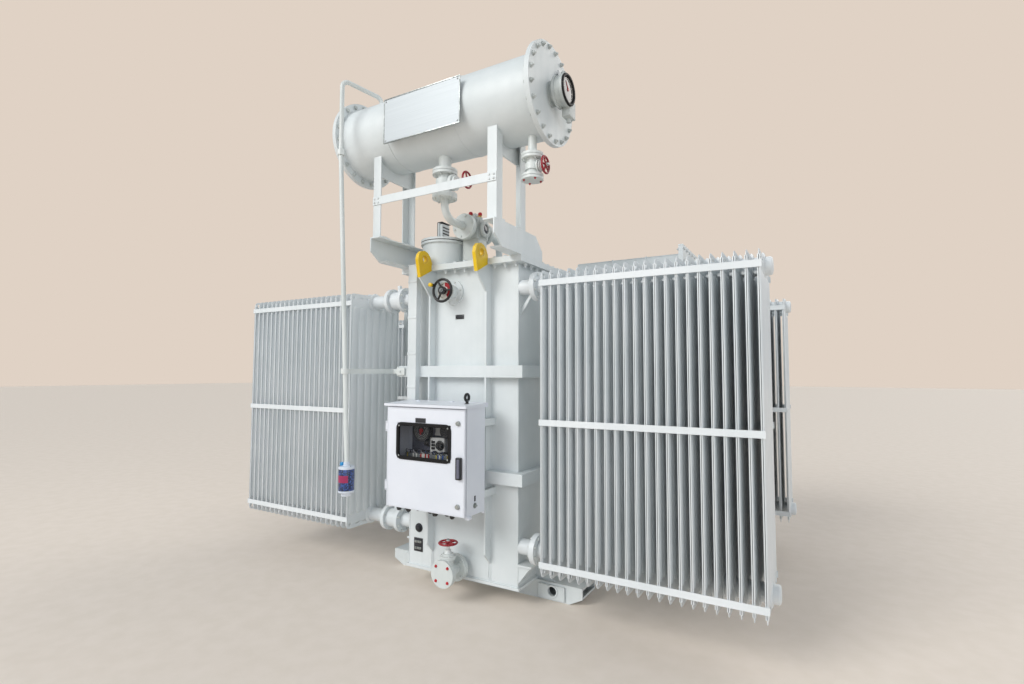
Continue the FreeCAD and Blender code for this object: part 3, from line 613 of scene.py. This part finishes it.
def turret_fittings():
    """Lid bolts and gasket of the inspection turret, and the slotted hood of its vent."""
    piece_of(flange_bolts, [(16, 141, (TURRET_X, TURRET_Y, 2083), UP, 6),
                            (16, 146, (TURRET_X, TURRET_Y, 2050), DOWN, 5.5)],
             "turret_lid_bolts", TANK)
    piece_of(lathe, [((TURRET_X, TURRET_Y, 2064.2), UP, tube(147, 151.5, 4.6), 48)], "turret_gasket", GASKET)
    hood = [((-243, 49, 2093), (-239.3, 139, 2207), 1), ((-240, 48, 2204), (-202, 141, 2209), 1)]
    slats = [((-205, 60, z), (-203, 128, z + 8), 0.5) for z in (2110, 2130, 2150, 2170)]
    piece_of(block, hood + slats, "vent_hood_flap", DARK_CASE)


# Welds -----------------------------------------

def weld_beads():
    """Beads at the tank's corners, stiffeners, bands, floor and rim, and the conservator's seams."""
    bm = bmesh.new()
    for x in (-TANK_X, TANK_X):
        for y in (0, TANK_BACK):
            bead(bm, (x, y, 2), (x, y, 1862), 4)
    for x in (-LUG_X, LUG_X):
        for dx in (-7, 7):
            bead(bm, (x + dx, -1, 4), (x + dx, -1, 1800), 3.5)
            bead(bm, (x + dx, TANK_BACK + 1, 4), (x + dx, TANK_BACK + 1, 1800), 3.5)
    for z in (579, 649, 1191, 1261):
        for y in (0, TANK_BACK):
            bead(bm, (-395, y, z), (395, y, z), 3.5)
        for x in (-TANK_X, TANK_X):
            bead(bm, (x, 5, z), (x, 1845, z), 3.5)
    for y in (0, TANK_BACK):
        bead(bm, (-TANK_X, y, 2), (TANK_X, y, 2), 5)
        bead(bm, (-TANK_X, y, 1862), (TANK_X, y, 1862), 4)
    for x in (-TANK_X, TANK_X):
        bead(bm, (x, 0, 2), (x, TANK_BACK, 2), 5)
    for side in (-12, 12):
        for lug in (-LUG_X, LUG_X):
            bead(bm, (lug + side * 1.15, -57, 1868), (lug + side * 1.15, -57, 1898), 3)
    piece("tank_weld_beads", bm, TANK)
    rows = [((x, CONSERVATOR_Y, CONSERVATOR_Z), RIGHT, radius, thick, 64, 6)
            for x, radius, thick in ((-300, 224, 3.2), (190, 224, 3.2), (-659, 225, 4.5), (676, 225, 4.5))]
    piece_of(hoop, rows, "conservator_weld_seams", TANK)


# Conservator fittings --------------------------

def level_gauge():
    """Magnetic oil gauge: cast neck and case, black bezel, dark dial with a scale, and its switch box."""
    y, z = CONSERVATOR_Y, CONSERVATOR_Z
    cast, marks, hand = blanks(3)
    lathe(cast, (704, y, z), RIGHT, [(66, 0), (66, 5), (55, 12), (54, 28), (70, 36), (70, 34), (53, 34)], 32)
    flange_bolts(cast, 6, 76, (750, y, z), RIGHT, 6, 0.3, 3)
    flange_bolts(cast, 6, 60, (709, y, z), RIGHT, 5, 0.1)
    block(cast, (748, y + 28, z - 121), (794, y + 112, z - 27), 4)
    block(cast, (762, y - 14, z + 74), (786, y + 14, z + 104), 3)
    drum(cast, (771, y + 70, z - 121), DOWN, 22, 12, sides=16)
    lathe(cast, (776, y, z), RIGHT, [(78.5, 0), (84, 4), (84, 21), (78.5, 21), (78.5, 0)], 48)
    piece("gauge_casting", cast, CAST_GREY_AND_BOLT_SHADE)
    bezel = [(66, 21), (84, 21), (84, 27), (80, 31), (72, 31), (66, 21)]
    piece_of(lathe, [((776, y, z), RIGHT, bezel, 48)], "gauge_bezel", GASKET)
    dome = [(0, 2.2), (40, 1.6), (64, 0.8), (69, 0), (0, 0)]
    piece_of(lathe, [((796.2, y, z), RIGHT, dome, 40)], "gauge_dial", DIAL_GLASS)
    for i in range(11):
        a = radians(-60 + 30 * i)
        centre = Vector((797.6, y - 52 * cos(a), z + 52 * sin(a)))
        ops.create_cube(marks, size=1, matrix=move(centre) @ Matrix.Rotation(a, 4, "X")
                              @ Matrix.Diagonal((0.8, 13, 2.6, 1)))
    lathe(marks, (797.4, y, z), RIGHT, tube(59, 61, 0.9), 40)
    piece("gauge_scale", marks, DIAL_WHITE)
    drum(hand, (797.6, y, z), RIGHT, 4, 8, sides=16)
    drum(hand, (799, y, z), (0, -0.55, 0.8), 48, 3, 1, sides=8)
    piece("gauge_hand", hand, RED_CAP)
    piece_of(block, [((716, y + 46, z + 106), (719, y + 108, z + 158), 1),
                     ((704.2, y + 58, z + 120), (716.5, y + 96, z + 144), 1)],
             "cover_tag_blank", ALUMINIUM)


def sign_trim():
    """A folded edge strip and four rivets round the bare sign."""
    strips = [((-286, -417.5, z - 1), (266, -410, z + 5), 0.8) for z in (2570, 2832)]
    strips += [((x, -417.4, 2570), (x + 4.5, -410, 2836), 0.8) for x in (-286, 262)]
    piece_of(block, strips, "sign_edge_strip", ZINC, "sign_aluminium")
    head = [(0, 3.2), (3, 2.6), (5, 0.8), (5.4, 0), (0, 0)]
    rows = [((x, -415, z), FRONT, head, 12) for x in (-270, 250) for z in (2586, 2820)]
    piece_of(lathe, rows, "sign_rivets", STEEL)


def stand_fixings():
    """Bolts of the saddle feet and of the stand beams."""
    rows = []
    for side in (-1, 1):
        for y in (-312, -278, -255, -50, -16, -75):
            rows += [((side * x, y, 2055), UP, 8, 3) for x in (404, 432)]
        rows += [((side * TANK_X, y, COVER_TOP + 6), UP, 11, 6) for y in (-20, 60, 140)]
    for x in (-432, -404, 404, 432):
        rows += [((x, -331, z), FRONT, 6) for z in (2285, 2261)]
    piece_of(bolt, rows, "stand_bolts", TANK)


# Relay and valves ------------------------------

def relay_fittings():
    """Sight glasses, test cocks with their caps, terminal box and ribs of the gas relay."""
    x, y, z = RELAY_AT
    glass_rings, panes, cocks, caps, boxy = blanks(5)
    for side, axis in ((-1, LEFT), (1, RIGHT)):
        lathe(glass_rings, (x + side * 78, y, z), axis,
              [(54, 0), (54, 9), (50, 12), (31, 12), (29, 7), (29, 0)], 32)
        flange_bolts(glass_rings, 6, 43, (x + side * 90, y, z), axis, 4.5, 0.5)
        lathe(panes, (x + side * 81, y, z), axis, [(0, 4.6), (14, 4.2), (26, 2.6), (30, 0), (0, 0)], 28)
    for cx, cy in ((-13, 103), (33, 143)):
        lathe(cocks, (cx, cy, 2214), UP, [(13, 0), (13, 8), (10, 10), (10, 22), (0, 22)], 16)
        block(cocks, (cx - 4, cy - 26, 2223), (cx + 4, cy - 8, 2230), 1.5)
        lathe(caps, (cx, cy, 2236), UP, [(11, 0), (13, 3), (13, 16), (9, 21), (0, 22)], 18)
    lathe(caps, (33, 104, 2214), UP, [(7, 0), (8, 2), (8, 8), (0, 10)], 12)
    block(boxy, (x - 46, y + 26, 2213), (x - 12, y + 58, 2262), 4)
    drum(boxy, (x - 46, y + 42, 2238), LEFT, 20, 8, sides=14)
    piece("relay_glass_rings", glass_rings, RELAY)
    piece("relay_sight_panes", panes, DIAL_GLASS)
    piece("relay_test_cocks", cocks, BRASS)
    piece("relay_cock_caps", caps, RED_CAP)
    piece("relay_terminal_box", boxy, CAST_GREY_AND_BOLT_SHADE, soften=1)
    ribs = [((x - 66, y + dy - 3, z - 60), (x + 66, y + dy + 3, z + 60), 1.5) for dy in (-40, 40)]
    ribs += [((x + dx, 74, 1904), (x + dx + 6, 168, 2072), 1) for dx in (-60, 55)]
    piece_of(block, ribs, "relay_body_ribs", RELAY)


def valve_fittings():
    """Gland followers, bonnet bolts, spindle tips and hub nuts of the three oil valves and the tap wheel."""
    bonnets, spindles = blanks(2)
    lathe(bonnets, (61, VALVE_Y, 2340), RIGHT, [(47, 0), (47, 9), (36, 12), (30, 14), (30, 0)], 24)
    lathe(bonnets, (646, VALVE_Y, 2330), RIGHT, [(30, 0), (30, 4), (20, 8), (16, 30), (11, 32), (11, 0)], 20)
    lathe(bonnets, (DRAIN_X, -135, 146), UP,
          [(47, 0), (47, 7), (38, 10), (24, 14), (17, 40), (12, 44), (12, 0)], 24)
    flange_bolts(bonnets, 4, 38, (DRAIN_X, -135, 155), UP, 5.5, HALF_4)
    flange_bolts(bonnets, 4, 38, (73, VALVE_Y, 2340), RIGHT, 5.5, HALF_4)
    piece("valve_bonnets", bonnets, PIPES)
    for foot, axis, radius in (((181, VALVE_Y, 2340), RIGHT, 10), ((692, VALVE_Y, 2330), RIGHT, 8),
                               ((DRAIN_X, -135, 242), UP, 9), ((TAP_X, -128, TAP_Z), FRONT, 11)):
        drum(spindles, foot, axis, 1.5, radius * 1.05, sides=16)
        drum(spindles, Vector(foot) + Vector(axis) * 1.5, axis, 5, radius * 0.95, radius * 0.8, sides=6)
    piece("spindle_nuts", spindles, STEEL, "gauge_grey")


def handwheel_bosses():
    """A turned boss and grip ribs on each handwheel, moving with it."""
    for name, centre, axis, hub, bore, radius, finish in (
            ("outlet_handwheel", (168, VALVE_Y, 2340), RIGHT, 17, 12, 52, RED),
            ("sump_handwheel", (676, VALVE_Y, 2330), RIGHT, 15, 12, 50, RED),
            ("drain_handwheel", (DRAIN_X, -135, 226), UP, 16, 12, 58, RED),
            ("tap_handwheel", (TAP_X, -112, TAP_Z), FRONT, 24, 13, 76, BLACK)):
        bm = bmesh.new()
        lathe(bm, Vector(centre) + Vector(axis) * 7, axis,
              [(bore, 0), (hub + 2, 0), (hub + 2, 1.5), (hub - 1, 4), (bore + 1, 5), (bore, 4), (bore, 0)],
              24)
        for point in around(20, radius - 5.5, centre, axis, 0.1):
            out = (point - Vector(centre)).normalized()
            drum(bm, point + out * 0.5, out, 6.2, 2.6, 1.4, sides=6)
        piece(name + "_grip", bm, finish, body=name)


def tap_dial():
    """Tap position plate behind the handwheel, its red sector and marks, the crank knob and a blank tag."""
    x, z = TAP_X, TAP_Z
    plate = [(14, 0), (24, 0), (24, 22), (53, 22), (55, 24), (55, 26), (52, 28), (14, 28), (14, 0)]
    piece_of(lathe, [((x, -60.5, z), FRONT, plate, 40)], "tap_position_plate", DIAL_WHITE)
    facing = move((x, -88.5, z)) @ Matrix.Rotation(radians(90), 4, "X")
    piece_of(sector, [(tube(27, 52, 1.2), 150, 18, -62, facing)], "tap_red_sector", RED_CAP)
    turns = [radians(100 + 9 * i) for i in range(17)]
    spots = [(x + 44 * cos(a), z + 44 * sin(a)) for a in turns]
    piece_of(block, [((mx - 2, -90.2, mz - 2), (mx + 2, -88.4, mz + 2)) for mx, mz in spots],
             "tap_position_marks", DARK_CASE)
    knob = [(10.3, 0), (12.5, 2), (13, 10), (12, 16), (7, 19), (0, 20)]
    piece_of(lathe, [((x - 58, -146, z + 33), FRONT, knob, 20)], "tap_crank_knob", YELLOW_KNOB,
             body="tap_handwheel")
    piece_of(block, [((-50, -3, 1552), (14, -0.2, 1580), 0.8)], "tap_tag_blank", DARK_CASE)
    head = [(0, 1.4), (2.2, 1), (2.8, 0), (0, 0)]
    piece_of(lathe, [((rx, -3, rz), FRONT, head, 10) for rx in (-44, 8) for rz in (1557, 1575)],
             "tap_tag_rivets", STEEL)


# Breather --------------------------------------

def breather_cup():
    """Clear cup of blue beads between white moulded caps, with clamp nuts, a fill cap and a blank band."""
    x, y = -456, -490
    cup = [(0, 0), (43, 0), (44.6, 3), (44.6, 123), (43, 126), (0, 126)]
    piece_of(lathe, [((x, y, 543), UP, cup, 40)], "breather_bead_cup", BEADS)
    caps = bmesh.new()
    upper = [(0, 0), (45.9, 0), (45.9, 11), (44, 14), (34, 17), (22, 19), (18, 24), (18, 38),
             (13.8, 40), (0, 40)]
    lathe(caps, (x, y, 666), UP, upper, 40)
    lathe(caps, (x, y, 511), UP,
          [(0, 0), (24, 0), (28, 3), (30, 18), (42, 21), (45.9, 24), (45.9, 34), (0, 34)], 40)
    for point in around(18, 45, (x, y, 668), UP):
        drum(caps, point, UP, 8, 0.9, sides=6)
    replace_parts(piece("breather_caps", caps, WHITE_CAP, "tank_paint"), "breather")
    piece_of(flange_bolts, [(3, 38, (x, y, 681), UP, 4, 0.9, 2)], "breather_clamp_nuts", ZINC)
    fill_cap = [(0, 19), (8, 19), (10.5, 15), (11, 0), (0, 0)]
    piece_of(lathe, [((x - 22, y - 16, 685), UP, fill_cap, 18)], "breather_fill_cap",
             moulded("blue_moulded_cap", "2E9BD8", "1F7FB8", 0.3), "breather_blue")
    piece_of(sector, [(tube(44.4, 45.3, 40), 106, 16, 222, move((x, y, 592)))], "breather_blank_band",
             moulded("magenta_printed_band", "B22A62", "9A2354", 0.35), "breather_blue")
    clamps = bmesh.new()
    lathe(clamps, (-556.6, y, 2530), UP, tube(15, 22, 34), 6)
    for z in (1217, 1235):
        bolt(clamps, (-500, -493, z), FRONT, 4.5, stud=3)
    block(clamps, (-468, -72, 1201), (-402, -66, 1251), 1.5)
    bolt(clamps, (-436, -72, 1226), FRONT, 8, stud=3)
    piece("breather_pipe_fittings", clamps, PIPES)


# Control cabinet -------------------------------

def window_frame():
    """The rubber frame round the window: a rounded ring, 20 mm wide and 13 mm thick."""
    ring = bmesh.new()
    low, high, lap = Vector((-229, 0, 723)), Vector((156, 0, 928)), 8
    middle, size = (low + high) / 2, high - low
    face = DOOR_FACE - 7
    ops.create_grid(ring, x_segments=1, y_segments=1, size=0.5, matrix=move(
        (middle.x, face, middle.z)) @ Matrix.Rotation(radians(90), 4, "X")
        @ Matrix.Diagonal((size.x + lap, size.z + lap, 1, 1)))
    round_off(ring, 36, 7)
    ops.inset_region(ring, faces=ring.faces[:], thickness=20, use_even_offset=True, use_boundary=True)
    pane = max(ring.faces, key=lambda f: len(f.verts))
    ops.delete(ring, geom=[pane], context="FACES_ONLY")
    ops.recalc_face_normals(ring, faces=ring.faces[:])
    ops.solidify(ring, geom=ring.faces[:], thickness=-13)
    lowest = min(v.co.y for v in ring.verts)
    ops.translate(ring, verts=ring.verts[:], vec=(0, face - lowest, 0))
    piece("window_rubber_frame", ring, GASKET, body="door", soften=2.5)


def door_trim():
    """What is fixed to the door: window frame and screws, handle, locks, a blank tag and folded edges."""
    window_frame()
    head = [(0, 2.4), (3.4, 2), (5, 0.6), (5, 0), (0, 0)]
    piece_of(lathe, [((x, DOOR_FACE - 6.5, z), FRONT, head, 14) for x in (-212, 139) for z in (740, 911)],
             "window_frame_screws", ZINC, body="door")
    piece_of(block, [((203, -343, 642), (235, -319.5, 761), 5)], "door_handle_housing", NYLON, body="door")
    piece_of(block, [((216, -350, 652), (233, -341, 752), 3)], "door_handle_lever", PLATE_GREY, body="door")
    locks = bmesh.new()
    for z in (496, 942):
        lathe(locks, (208, DOOR_FACE, z), FRONT, [(14, 0), (14, 4), (11.5, 6), (11.5, 12.6), (0, 12.6)], 24)
        lathe(locks, (208, DOOR_FACE - 12.5, z), FRONT, [(0, 1.2), (3.4, 1.2), (3.8, 0), (0, 0)], 3)
    piece("door_lock_inserts", locks, ZINC, body="door")
    piece_of(block, [((-93, -322.5, 934), (-19, -319.5, 960), 0.8)], "door_tag_blank", DARK_CASE, body="door")
    folds = [((-303, -321.4, z), (246, -319.8, z + 4), 0.6) for z in (446, 1009)]
    folds += [((x, -321.3, 450), (x + 4, -319.8, 1009), 0.6) for x in (-303, 242)]
    piece_of(block, folds, "door_folded_edge", CABINET, body="door")


def cabinet_outside():
    """Roof knobs, lifting eye, earth stud, cable glands, feet and drip edge."""
    eye, earth, feet, edge = blanks(4)
    knob = [(0, 16), (9, 15), (12, 10), (12, 3), (15, 1), (15, 0), (0, 0)]
    piece_of(lathe, [((x, y, 1038), UP, knob, 20) for x, y in ((-196, -175), (40, -150))],
             "roof_knobs", WHITE_CAP)
    hoop(eye, (190, -215, 1079), RIGHT, 18.5, 8.2, 32, 12)
    lathe(eye, (190, -215, 1040), UP, [(0, 20), (8.8, 19), (9, 6), (16, 4), (16, 0), (0, 0)], 20)
    piece("roof_lifting_eye", eye, BLACK)
    bolt(earth, (252, -222, 489), RIGHT, 10, stud=8)
    lathe(earth, (252, -222, 489), RIGHT, [(0, 3), (15, 3), (15, 0), (0, 0)], 20)
    piece("cabinet_earth_stud", earth, ZINC)
    piece_of(block, [((251.6, -228, 512), (254, -216, 542), 0.6)], "earth_tag_blank", DARK_CASE)
    gland = [(0, 0), (17, 0), (17, 5), (13, 6), (13, 16), (15, 17), (14, 30), (9, 36), (0, 36)]
    spots = [(-270, -250, 1), (-236, -215, 1.3), (-196, -250, 1), (-160, -205, 1), (-60, -215, 1.15),
             (0, -250, 1.15), (60, -215, 1.15), (120, -250, 1)]
    piece_of(lathe, [((x, y, 440), DOWN, [(r * big, h) for r, h in gland], 12) for x, y, big in spots],
             "cabinet_cable_glands", NYLON)
    for x in (-309, 240):
        for y in (-296, -139):
            drum(feet, (x + 6, y + 8, 440), DOWN, 12, 9, 8, sides=14)
    block(feet, (236, -296, 424), (262, -262, 440.5), 3)
    piece("cabinet_feet", feet, CABINET)
    for z in (550, 953):
        for x in (-249, 225):
            bolt(edge, (x + 12, -123, z - 20), FRONT, 5)
    block(edge, (-311, -325, 1021), (254, -300, 1025), 1)
    piece("cabinet_drip_edge", edge, CABINET)


TERMINAL_ROWS = ((731, -227), (695, -230))
TERMINAL_COLOURS = {"white": "E6E6E0", "blue": "2B57A8", "red": "B42528", "yellow": "C9B652",
                    "grey": "7E8488"}
WIRE_TONES = {"black": ("141416", "26262A"), "white": ("D8D8DC", "BEBEC6"), "blue": ("31487E", "253866")}


def instruments():
    """Behind the window: position drum, relay with its knob and keys, and the terminal rails."""
    x, z = -120, 880
    rings, pointer, knobs, rail = blanks(4)
    lathe(rings, (x, -232, z), FRONT, [(64, -30), (66, 0), (62, 7), (56, 7), (54, 3), (0, 3)], 40)
    drum(rings, (40, -213, 880), FRONT, 8, 41, 36, sides=28)
    piece("position_drum", rings, DARK_CASE)
    piece_of(hoop, [((x, -236, z), FRONT, radius, 1.6, 40, 6) for radius in (50, 40, 30)],
             "position_drum_rings", ZINC)
    lathe(pointer, (x, -235.5, z), FRONT, [(0, 8), (10, 6), (13, 0), (0, 0)], 20)
    block(pointer, (x - 4, -246, z - 26), (x + 4, -238, z + 2), 1.5)
    piece("position_pointer", pointer, RED_CAP)
    piece_of(block, [((-72, -214, 755), (33, -162, 840), 4), ((-70, -180, 848), (-10, -162, 900), 3)],
             "relay_case", WHITE_CASE)
    lathe(knobs, (3, -213.5, 797), FRONT, [(29, 0), (29, 4), (24, 6), (23, 16), (20, 19), (0, 19)], 28)
    block(knobs, (1, -236, 776), (5, -231, 818), 1)
    for key_z in (772, 790, 808):
        for key_x in (-58, -45):
            block(knobs, (key_x, -221, key_z), (key_x + 10, -213, key_z + 14), 1.5)
    piece("relay_knob_and_keys", knobs, NYLON)
    for level, y in TERMINAL_ROWS:
        block(rail, (-245, y + 4, level - 18), (150, -160, level - 12), 1)
        block(rail, (-245, y + 10, level - 12), (150, y + 14, level + 18), 1)
    piece("terminal_rails", rail, ZINC)


def wiring():
    """Terminals of mixed colours on their rails, and the wires that rise from them."""
    strips = {name: bmesh.new() for name in TERMINAL_COLOURS}
    for level, y in TERMINAL_ROWS:
        for i in range(34):
            pick = dice.choice(["white", "white", "grey", "grey", "grey", "blue", "blue", "red", "yellow"])
            left = -238 + 11.4 * i
            block(strips[pick], (left, y - 12, level - 14), (left + 10, y + 8, level + 14), 1.2)
    for name, blocks in strips.items():
        colour = TERMINAL_COLOURS[name]
        shade = "".join(f"{int(int(colour[i:i + 2], 16) * 0.85):02X}" for i in (0, 2, 4))
        piece("terminals_" + name, blocks, moulded("terminal_" + name, colour, shade, 0.4), "instrument_grey")
    routes = {name: [] for name in WIRE_TONES}
    for i in range(26):
        start = -226 + 14 * i
        sway = dice.uniform(-34, 34)
        out = (start + sway * 0.2, -246 - dice.uniform(0, 8), 754)
        over = (start + sway * 0.6, -240, 764 + dice.uniform(0, 8))
        routes[("black", "white", "black", "blue")[i % 4]].append(
            [(start, -232, 743), out, over, (start + sway, -214, 757), (start + sway, -163, 752)])
    for i in range(6):
        routes["black"].append([
            (-104 + 4 * i, -214, 832), (-96 + 5 * i, -226, 818), (-104 + 6 * i, -232, 800),
            (-92 + 3 * i, -214, 786), (-84 + 3 * i, -164, 782)])
    for name, lines in routes.items():
        skin = moulded("pvc_wire_" + name, *WIRE_TONES[name], 0.4, bump=0.02)
        wire("panel_wires_" + name, lines, 2.2, skin)


# Tank front and base ---------------------------

def tank_fittings():
    """Earth pad, oil pocket, straps and screws of the cable duct, and rings in the lifting holes."""
    screws, pocket, duct = blanks(3)
    piece_of(block, [((-360, -4, 84), (-290, -0.2, 168), 1)], "earth_pad_backing", DARK_CASE)
    for z in (106, 146):
        block(screws, (-352, -9, z - 7), (-298, -4, z + 7), 2)
        for x in (-338, -312):
            bolt(screws, (x, -9, z), FRONT, 7)
    piece("earth_pad_straps", screws, ZINC)
    lathe(pocket, (-322, 0, 232), FRONT,
          [(0, 20), (14, 20), (17, 17), (17, 8), (26, 7), (28, 4), (28, 0)], 28)
    flange_bolts(pocket, 4, 22, (-322, -7, 232), FRONT, 4, 0.7)
    piece("oil_pocket", pocket, DARK_CASE)
    for z in (900, 1120, 1330, 1560, 1790):
        block(duct, (-354, -102.5, z), (-282, -98, z + 16), 1)
        for x in (-346, -290):
            lathe(duct, (x, -102.5, z + 8), FRONT, [(0, 2), (3, 1.6), (4, 0), (0, 0)], 10)
    block(duct, (-356, -103, 1900), (-280, -58, 1908), 2)
    piece("cable_duct_straps", duct, TANK)
    ring = tube(22.3, 30, 2.5)
    rows = [((x + side * 12, y, 1925), (side, 0, 0), ring, 28)
            for x in (-LUG_X, LUG_X) for y in (-125, 1975) for side in (-1, 1)]
    piece_of(lathe, rows, "lug_hole_rings", YELLOW)


def base_details():
    """Hole bosses and stitch welds on the cross rails."""
    bm = bmesh.new()
    boss = [(27.4, -3), (37, -3), (37, 3), (35, 5), (29, 5), (27.4, 3), (27.4, -3)]
    for side in (-1, 1):
        for y, axis in ((195, FRONT), (1655, BACK)):
            lathe(bm, (side * 521, y, -62), axis, boss, 32)
            for x in (430, 600):
                bead(bm, (side * x, y, -106), (side * x, y, -30), 2.5)
            bead(bm, (side * 430, y, -29), (side * 600, y, -29), 2.5)
        for y in (205, 405, 1445, 1645):
            bead(bm, (side * 412, y, -16), (side * 700, y, -16), 3)
    for y in (205, 405, 1445, 1645):
        bead(bm, (-405, y, -17), (405, y, -17), 3.5)
    piece("base_rail_details", bm, TANK)


def trunk_ribs():
    """Angle ribs, weld lines and a vent plug on the long right trunk, and welds on the left one."""
    bm = bmesh.new()
    for x in (760, 980):
        block(bm, (x, 604, 1264), (x + 8, 610.5, 1952), 1)
        block(bm, (x, 1239.5, 1264), (x + 8, 1246, 1952), 1)
        block(bm, (x, 604, 1949.5), (x + 8, 1246, 1956), 1)
    for y in (610, 1240):
        bead(bm, (523, y, 1950), (1194, y, 1950), 3)
        bead(bm, (402, y, 1270), (1194, y, 1270), 3)
    for y in (550, 1300):
        for z in (1400, 1660):
            bead(bm, (-402, y, z), (-889, y, z), 3)
    lathe(bm, (860, MIDDLE_Y, 1950), UP, [(0, 22), (24, 22), (28, 18), (28, 6), (40, 5), (40, 0), (0, 0)], 28)
    piece("trunk_ribs", bm, TANK)


# The order matters: weld_beads, wiring, base_details and trunk_ribs draw random numbers
rim_bolts()
conservator_bolts()
pipe_flange_bolts()
trunk_bolts()
turret_fittings()
weld_beads()
level_gauge()
sign_trim()
stand_fixings()
relay_fittings()
valve_fittings()
handwheel_bosses()
tap_dial()
breather_cup()
door_trim()
cabinet_outside()
instruments()
wiring()
tank_fittings()
base_details()
trunk_ribs()


# Camera, floor and light -----------------------

YAW, PITCH, ROLL = 0.5240545, 0.0581277, 0.0029140
EYE = Vector((2.01976, -3.45372, 1.33637))
FOCAL_MM, FILM_MM = 18.676, 36.0

forward = Vector((-sin(YAW) * cos(PITCH), cos(YAW) * cos(PITCH), sin(PITCH)))
level_right = Vector((cos(YAW), sin(YAW), 0))
level_up = level_right.cross(forward)
right = level_right * cos(ROLL) + level_up * sin(ROLL)
up = level_up * cos(ROLL) - level_right * sin(ROLL)
lens = bpy.data.cameras.new("camera")
lens.lens, lens.sensor_width, lens.clip_end = FOCAL_MM, FILM_MM, 200
camera = link("camera", lens)
camera.matrix_world = move(EYE) @ Matrix((right, up, -forward)).transposed().to_4x4()
scene.camera = camera


def studio_lamp(name, kind, place, aim_height, power, size, colour):
    """A soft lamp facing the middle of the object: a far sun with a wide disc, or a square softbox."""
    lamp = bpy.data.lights.new(name, kind)
    lamp.energy, lamp.color = power, linear(colour)[:3]
    if kind == "SUN":
        lamp.angle = radians(size)
    else:
        lamp.size = size
    hung = link(name, lamp)
    hung.location = place
    hung.rotation_euler = (Vector(place) - Vector((0, 0, aim_height))).to_track_quat("Z", "Y").to_euler()


studio_lamp("key_lamp", "SUN", (-3.2, -7.0, 6.0), 1.0, 1.32, 30, "FFFEFB")
studio_lamp("right_fill", "SUN", (7.5, -5.5, 2.6), 1.0, 0.7, 50, "F4F8FF")
studio_lamp("rear_lamp", "SUN", (4.0, 8.0, 7.0), 1.0, 0.8, 45, "FFF9F2")
studio_lamp("front_softbox", "AREA", (-1.5, -8.0, 5.0), 1.6, 120, 3.0, "FFFFFF")

floor_shape = bmesh.new()
ops.create_grid(floor_shape, x_segments=1, y_segments=1, size=60)
floor_mesh = bpy.data.meshes.new("studio_floor")
floor_shape.to_mesh(floor_mesh)
floor_shape.free()
floor_mesh.materials.append(moulded("pale_studio_floor", "EADFD4", "E6DBCF", 0.7, scale=20.0, bump=0.0))
link("studio_floor", floor_mesh)

world = bpy.data.worlds.new("studio")
scene.world = world
world.use_nodes = True
sky = world.node_tree
sky.nodes.clear()
backdrop = add(sky, "Background", {"Color": "E0D2C5", "Strength": 1.0})
ambient = add(sky, "Background", {"Color": "E9EEF2", "Strength": 0.52})
seen = add(sky, "LightPath").outputs["Is Camera Ray"]
both = add(sky, "MixShader", {0: seen, 1: ambient.outputs[0], 2: backdrop.outputs[0]})
add(sky, "OutputWorld", {"Surface": both.outputs[0]})
scene.view_settings.view_transform = "Standard"
